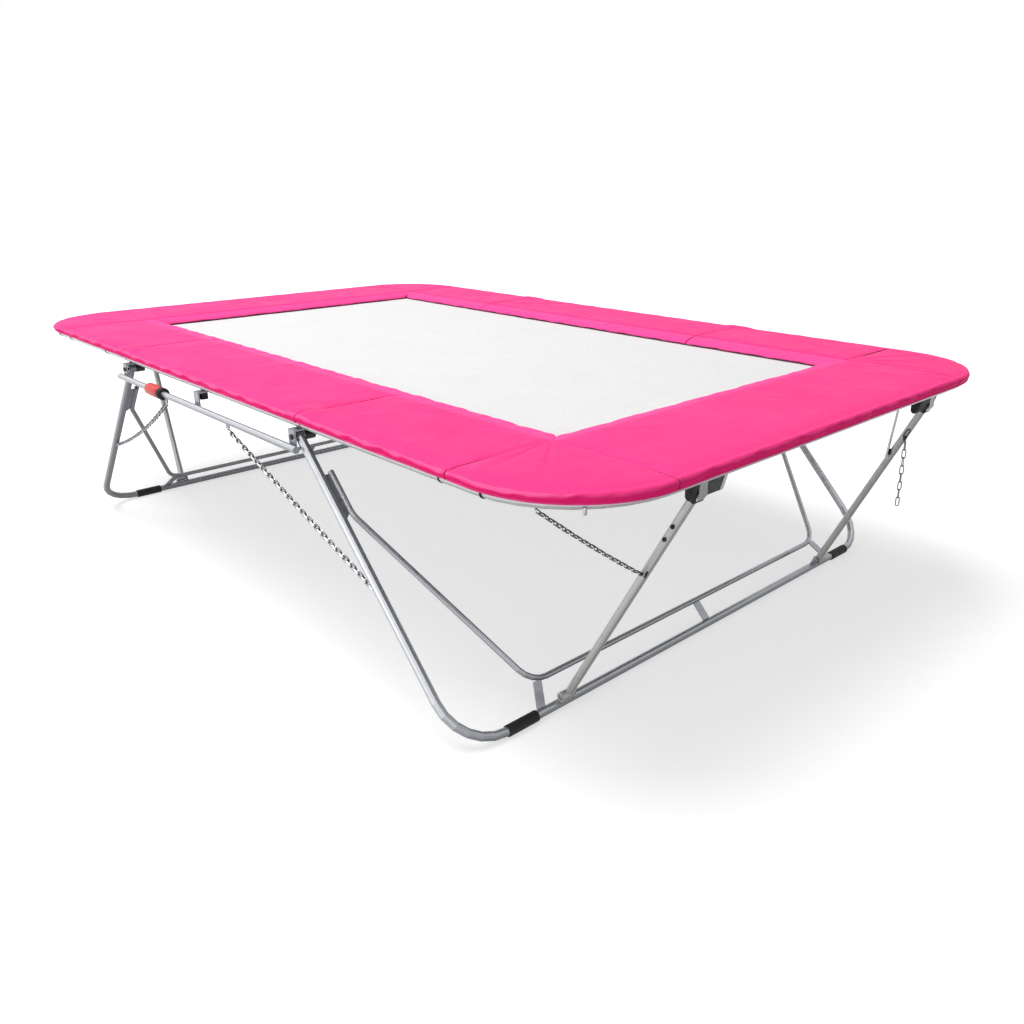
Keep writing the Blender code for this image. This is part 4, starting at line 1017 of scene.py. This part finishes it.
def bed_threads():
    """Two loose ends of thread on the bed near the front opening."""
    made = bmesh.new()
    for shift in (0.0, 0.021):
        spot = Vector((1.838 + shift, -0.885 + shift * 0.4, BED_TOP - 0.0012))
        rounded_bar(made, spot, spot + Vector((0.011, 0.004, 0.0)), 0.0014, 8, 0.4)
    piece_from(made, "bed_threads", RUBBER, "end_front")


def fittings():
    """The small parts on the rails, the braces, the lower rail and the bed."""
    for end in BOTH:
        rail_rings_and_pegs(end)
    near_brace_fittings()
    far_brace_fittings()
    red_grip()
    bed_threads()


# CAD nodes that keep their shape
def dress_cad_nodes():
    finishes = {
        "side_rail": RAIL, "end_frame": RAIL, "leg_front": BLUE_GREY, "leg_rear": BLUE_GREY, "lower_rail": LOWER,
        "brace": BRACE, "foot": RUBBER, "buffer": RUBBER, "leg_pin": NYLON, "fold_pin": DARK,
    }
    for name, node in frame["nodes"].items():
        for start, finish in finishes.items():
            if name.startswith(start):
                node.data.materials.clear()
                node.data.materials.append(finish)
                node.data.shade_smooth()
                node.data.set_sharp_from_angle(angle=radians(38))
                break


# Stage, lights and camera
FLOOR_COLOUR = 0.62
FLOOR_GLOW = 0.60              # of the floor under the object; it is plain white far from it
WORLD_LIGHT = 0.32
FRAME_PIXELS = 1024            # the photograph's width and height
FOCAL_PIXELS = 891.8
CENTRE_PIXELS = (576.6, 505.2)
CAMERA_PLACE = (4.248, -3.189, 2.094)
CAMERA_PITCH, CAMERA_YAW = 20.59, -45.30


def stage():
    made = bmesh.new()
    bmesh.ops.create_grid(made, x_segments=1, y_segments=1, size=60.0)
    for v in made.verts:
        v.co.z = -0.0005
    mesh = bpy.data.meshes.new("studio_floor")
    made.to_mesh(mesh)
    made.free()
    floor = bpy.data.objects.new("studio_floor", mesh)
    bpy.context.scene.collection.objects.link(floor)
    it = Finish("studio_floor", (FLOOR_COLOUR,) * 3 + (1.0,), 1.0, specular=0.0)
    away = it.add("ShaderNodeVectorMath", operation="LENGTH")
    it.link(it.place, away.inputs[0])
    far = it.ramp(away.outputs["Value"], 3.5, 11.0, FLOOR_GLOW, 1.0)
    path = it.add("ShaderNodeLightPath")
    seen = it.maths("MAXIMUM", path.outputs["Is Camera Ray"], path.outputs["Is Glossy Ray"])
    seen = it.maths("MAXIMUM", seen, path.outputs["Is Transmission Ray"])
    it.shader.inputs["Emission Color"].default_value = (1, 1, 1, 1)
    it.link(it.maths("MULTIPLY", far, seen), it.shader.inputs["Emission Strength"])
    mesh.materials.append(it.made)


def world():
    made = bpy.data.worlds.new("studio")
    bpy.context.scene.world = made
    made.use_nodes = True
    tree = made.node_tree
    tree.nodes.clear()
    out = tree.nodes.new("ShaderNodeOutputWorld")
    mix = tree.nodes.new("ShaderNodeMixShader")
    light = tree.nodes.new("ShaderNodeBackground")
    light.inputs["Strength"].default_value = WORLD_LIGHT
    white = tree.nodes.new("ShaderNodeBackground")
    white.inputs["Color"].default_value = (1, 1, 1, 1)
    white.inputs["Strength"].default_value = 1.0
    light.inputs["Color"].default_value = (1, 1, 1, 1)
    path = tree.nodes.new("ShaderNodeLightPath")
    seen = tree.nodes.new("ShaderNodeMath")
    more = tree.nodes.new("ShaderNodeMath")
    seen.operation = more.operation = "MAXIMUM"
    tree.links.new(path.outputs["Is Camera Ray"], seen.inputs[0])
    tree.links.new(path.outputs["Is Glossy Ray"], seen.inputs[1])
    tree.links.new(seen.outputs["Value"], more.inputs[0])
    tree.links.new(path.outputs["Is Transmission Ray"], more.inputs[1])
    tree.links.new(more.outputs["Value"], mix.inputs["Fac"])
    tree.links.new(light.outputs["Background"], mix.inputs[1])
    tree.links.new(white.outputs["Background"], mix.inputs[2])
    tree.links.new(mix.outputs["Shader"], out.inputs["Surface"])


def lamp(name, place, aim, size, power):
    data = bpy.data.lights.new(name, "AREA")
    data.shape = "SQUARE"
    data.size = size
    data.energy = power
    item = bpy.data.objects.new(name, data)
    bpy.context.scene.collection.objects.link(item)
    item.location = place
    item.rotation_mode = "QUATERNION"
    item.rotation_quaternion = (Vector(aim) - Vector(place)).to_track_quat("-Z", "Y")


def camera():
    data = bpy.data.cameras.new("camera")
    data.sensor_width = 36.0
    data.lens = FOCAL_PIXELS / FRAME_PIXELS * data.sensor_width
    data.shift_x = (FRAME_PIXELS / 2 - CENTRE_PIXELS[0]) / FRAME_PIXELS
    data.shift_y = (CENTRE_PIXELS[1] - FRAME_PIXELS / 2) / FRAME_PIXELS
    data.clip_end = 200.0
    item = bpy.data.objects.new("camera", data)
    bpy.context.scene.collection.objects.link(item)
    pitch, yaw = radians(CAMERA_PITCH), radians(CAMERA_YAW)
    ahead = Vector((sin(yaw) * cos(pitch), cos(yaw) * cos(pitch), -sin(pitch)))
    item.location = CAMERA_PLACE
    item.rotation_mode = "QUATERNION"
    item.rotation_quaternion = ahead.to_track_quat("-Z", "Y")
    bpy.context.scene.camera = item


camera()
stage()
world()
lamp("overhead", (-2.8, -2.5, 13.5), (0, 0, 0.6), 10.0, 1880)
lamp("front_fill", (1.5, -9.0, 3.6), (0.2, 0, 0.8), 4.0, 150)
bpy.context.scene.view_settings.view_transform = "Standard"
dress_cad_nodes()
pads()
springs_and_webbing()
for end in BOTH:
    bed_half(end)
chains()
hook_seats()
fittings()
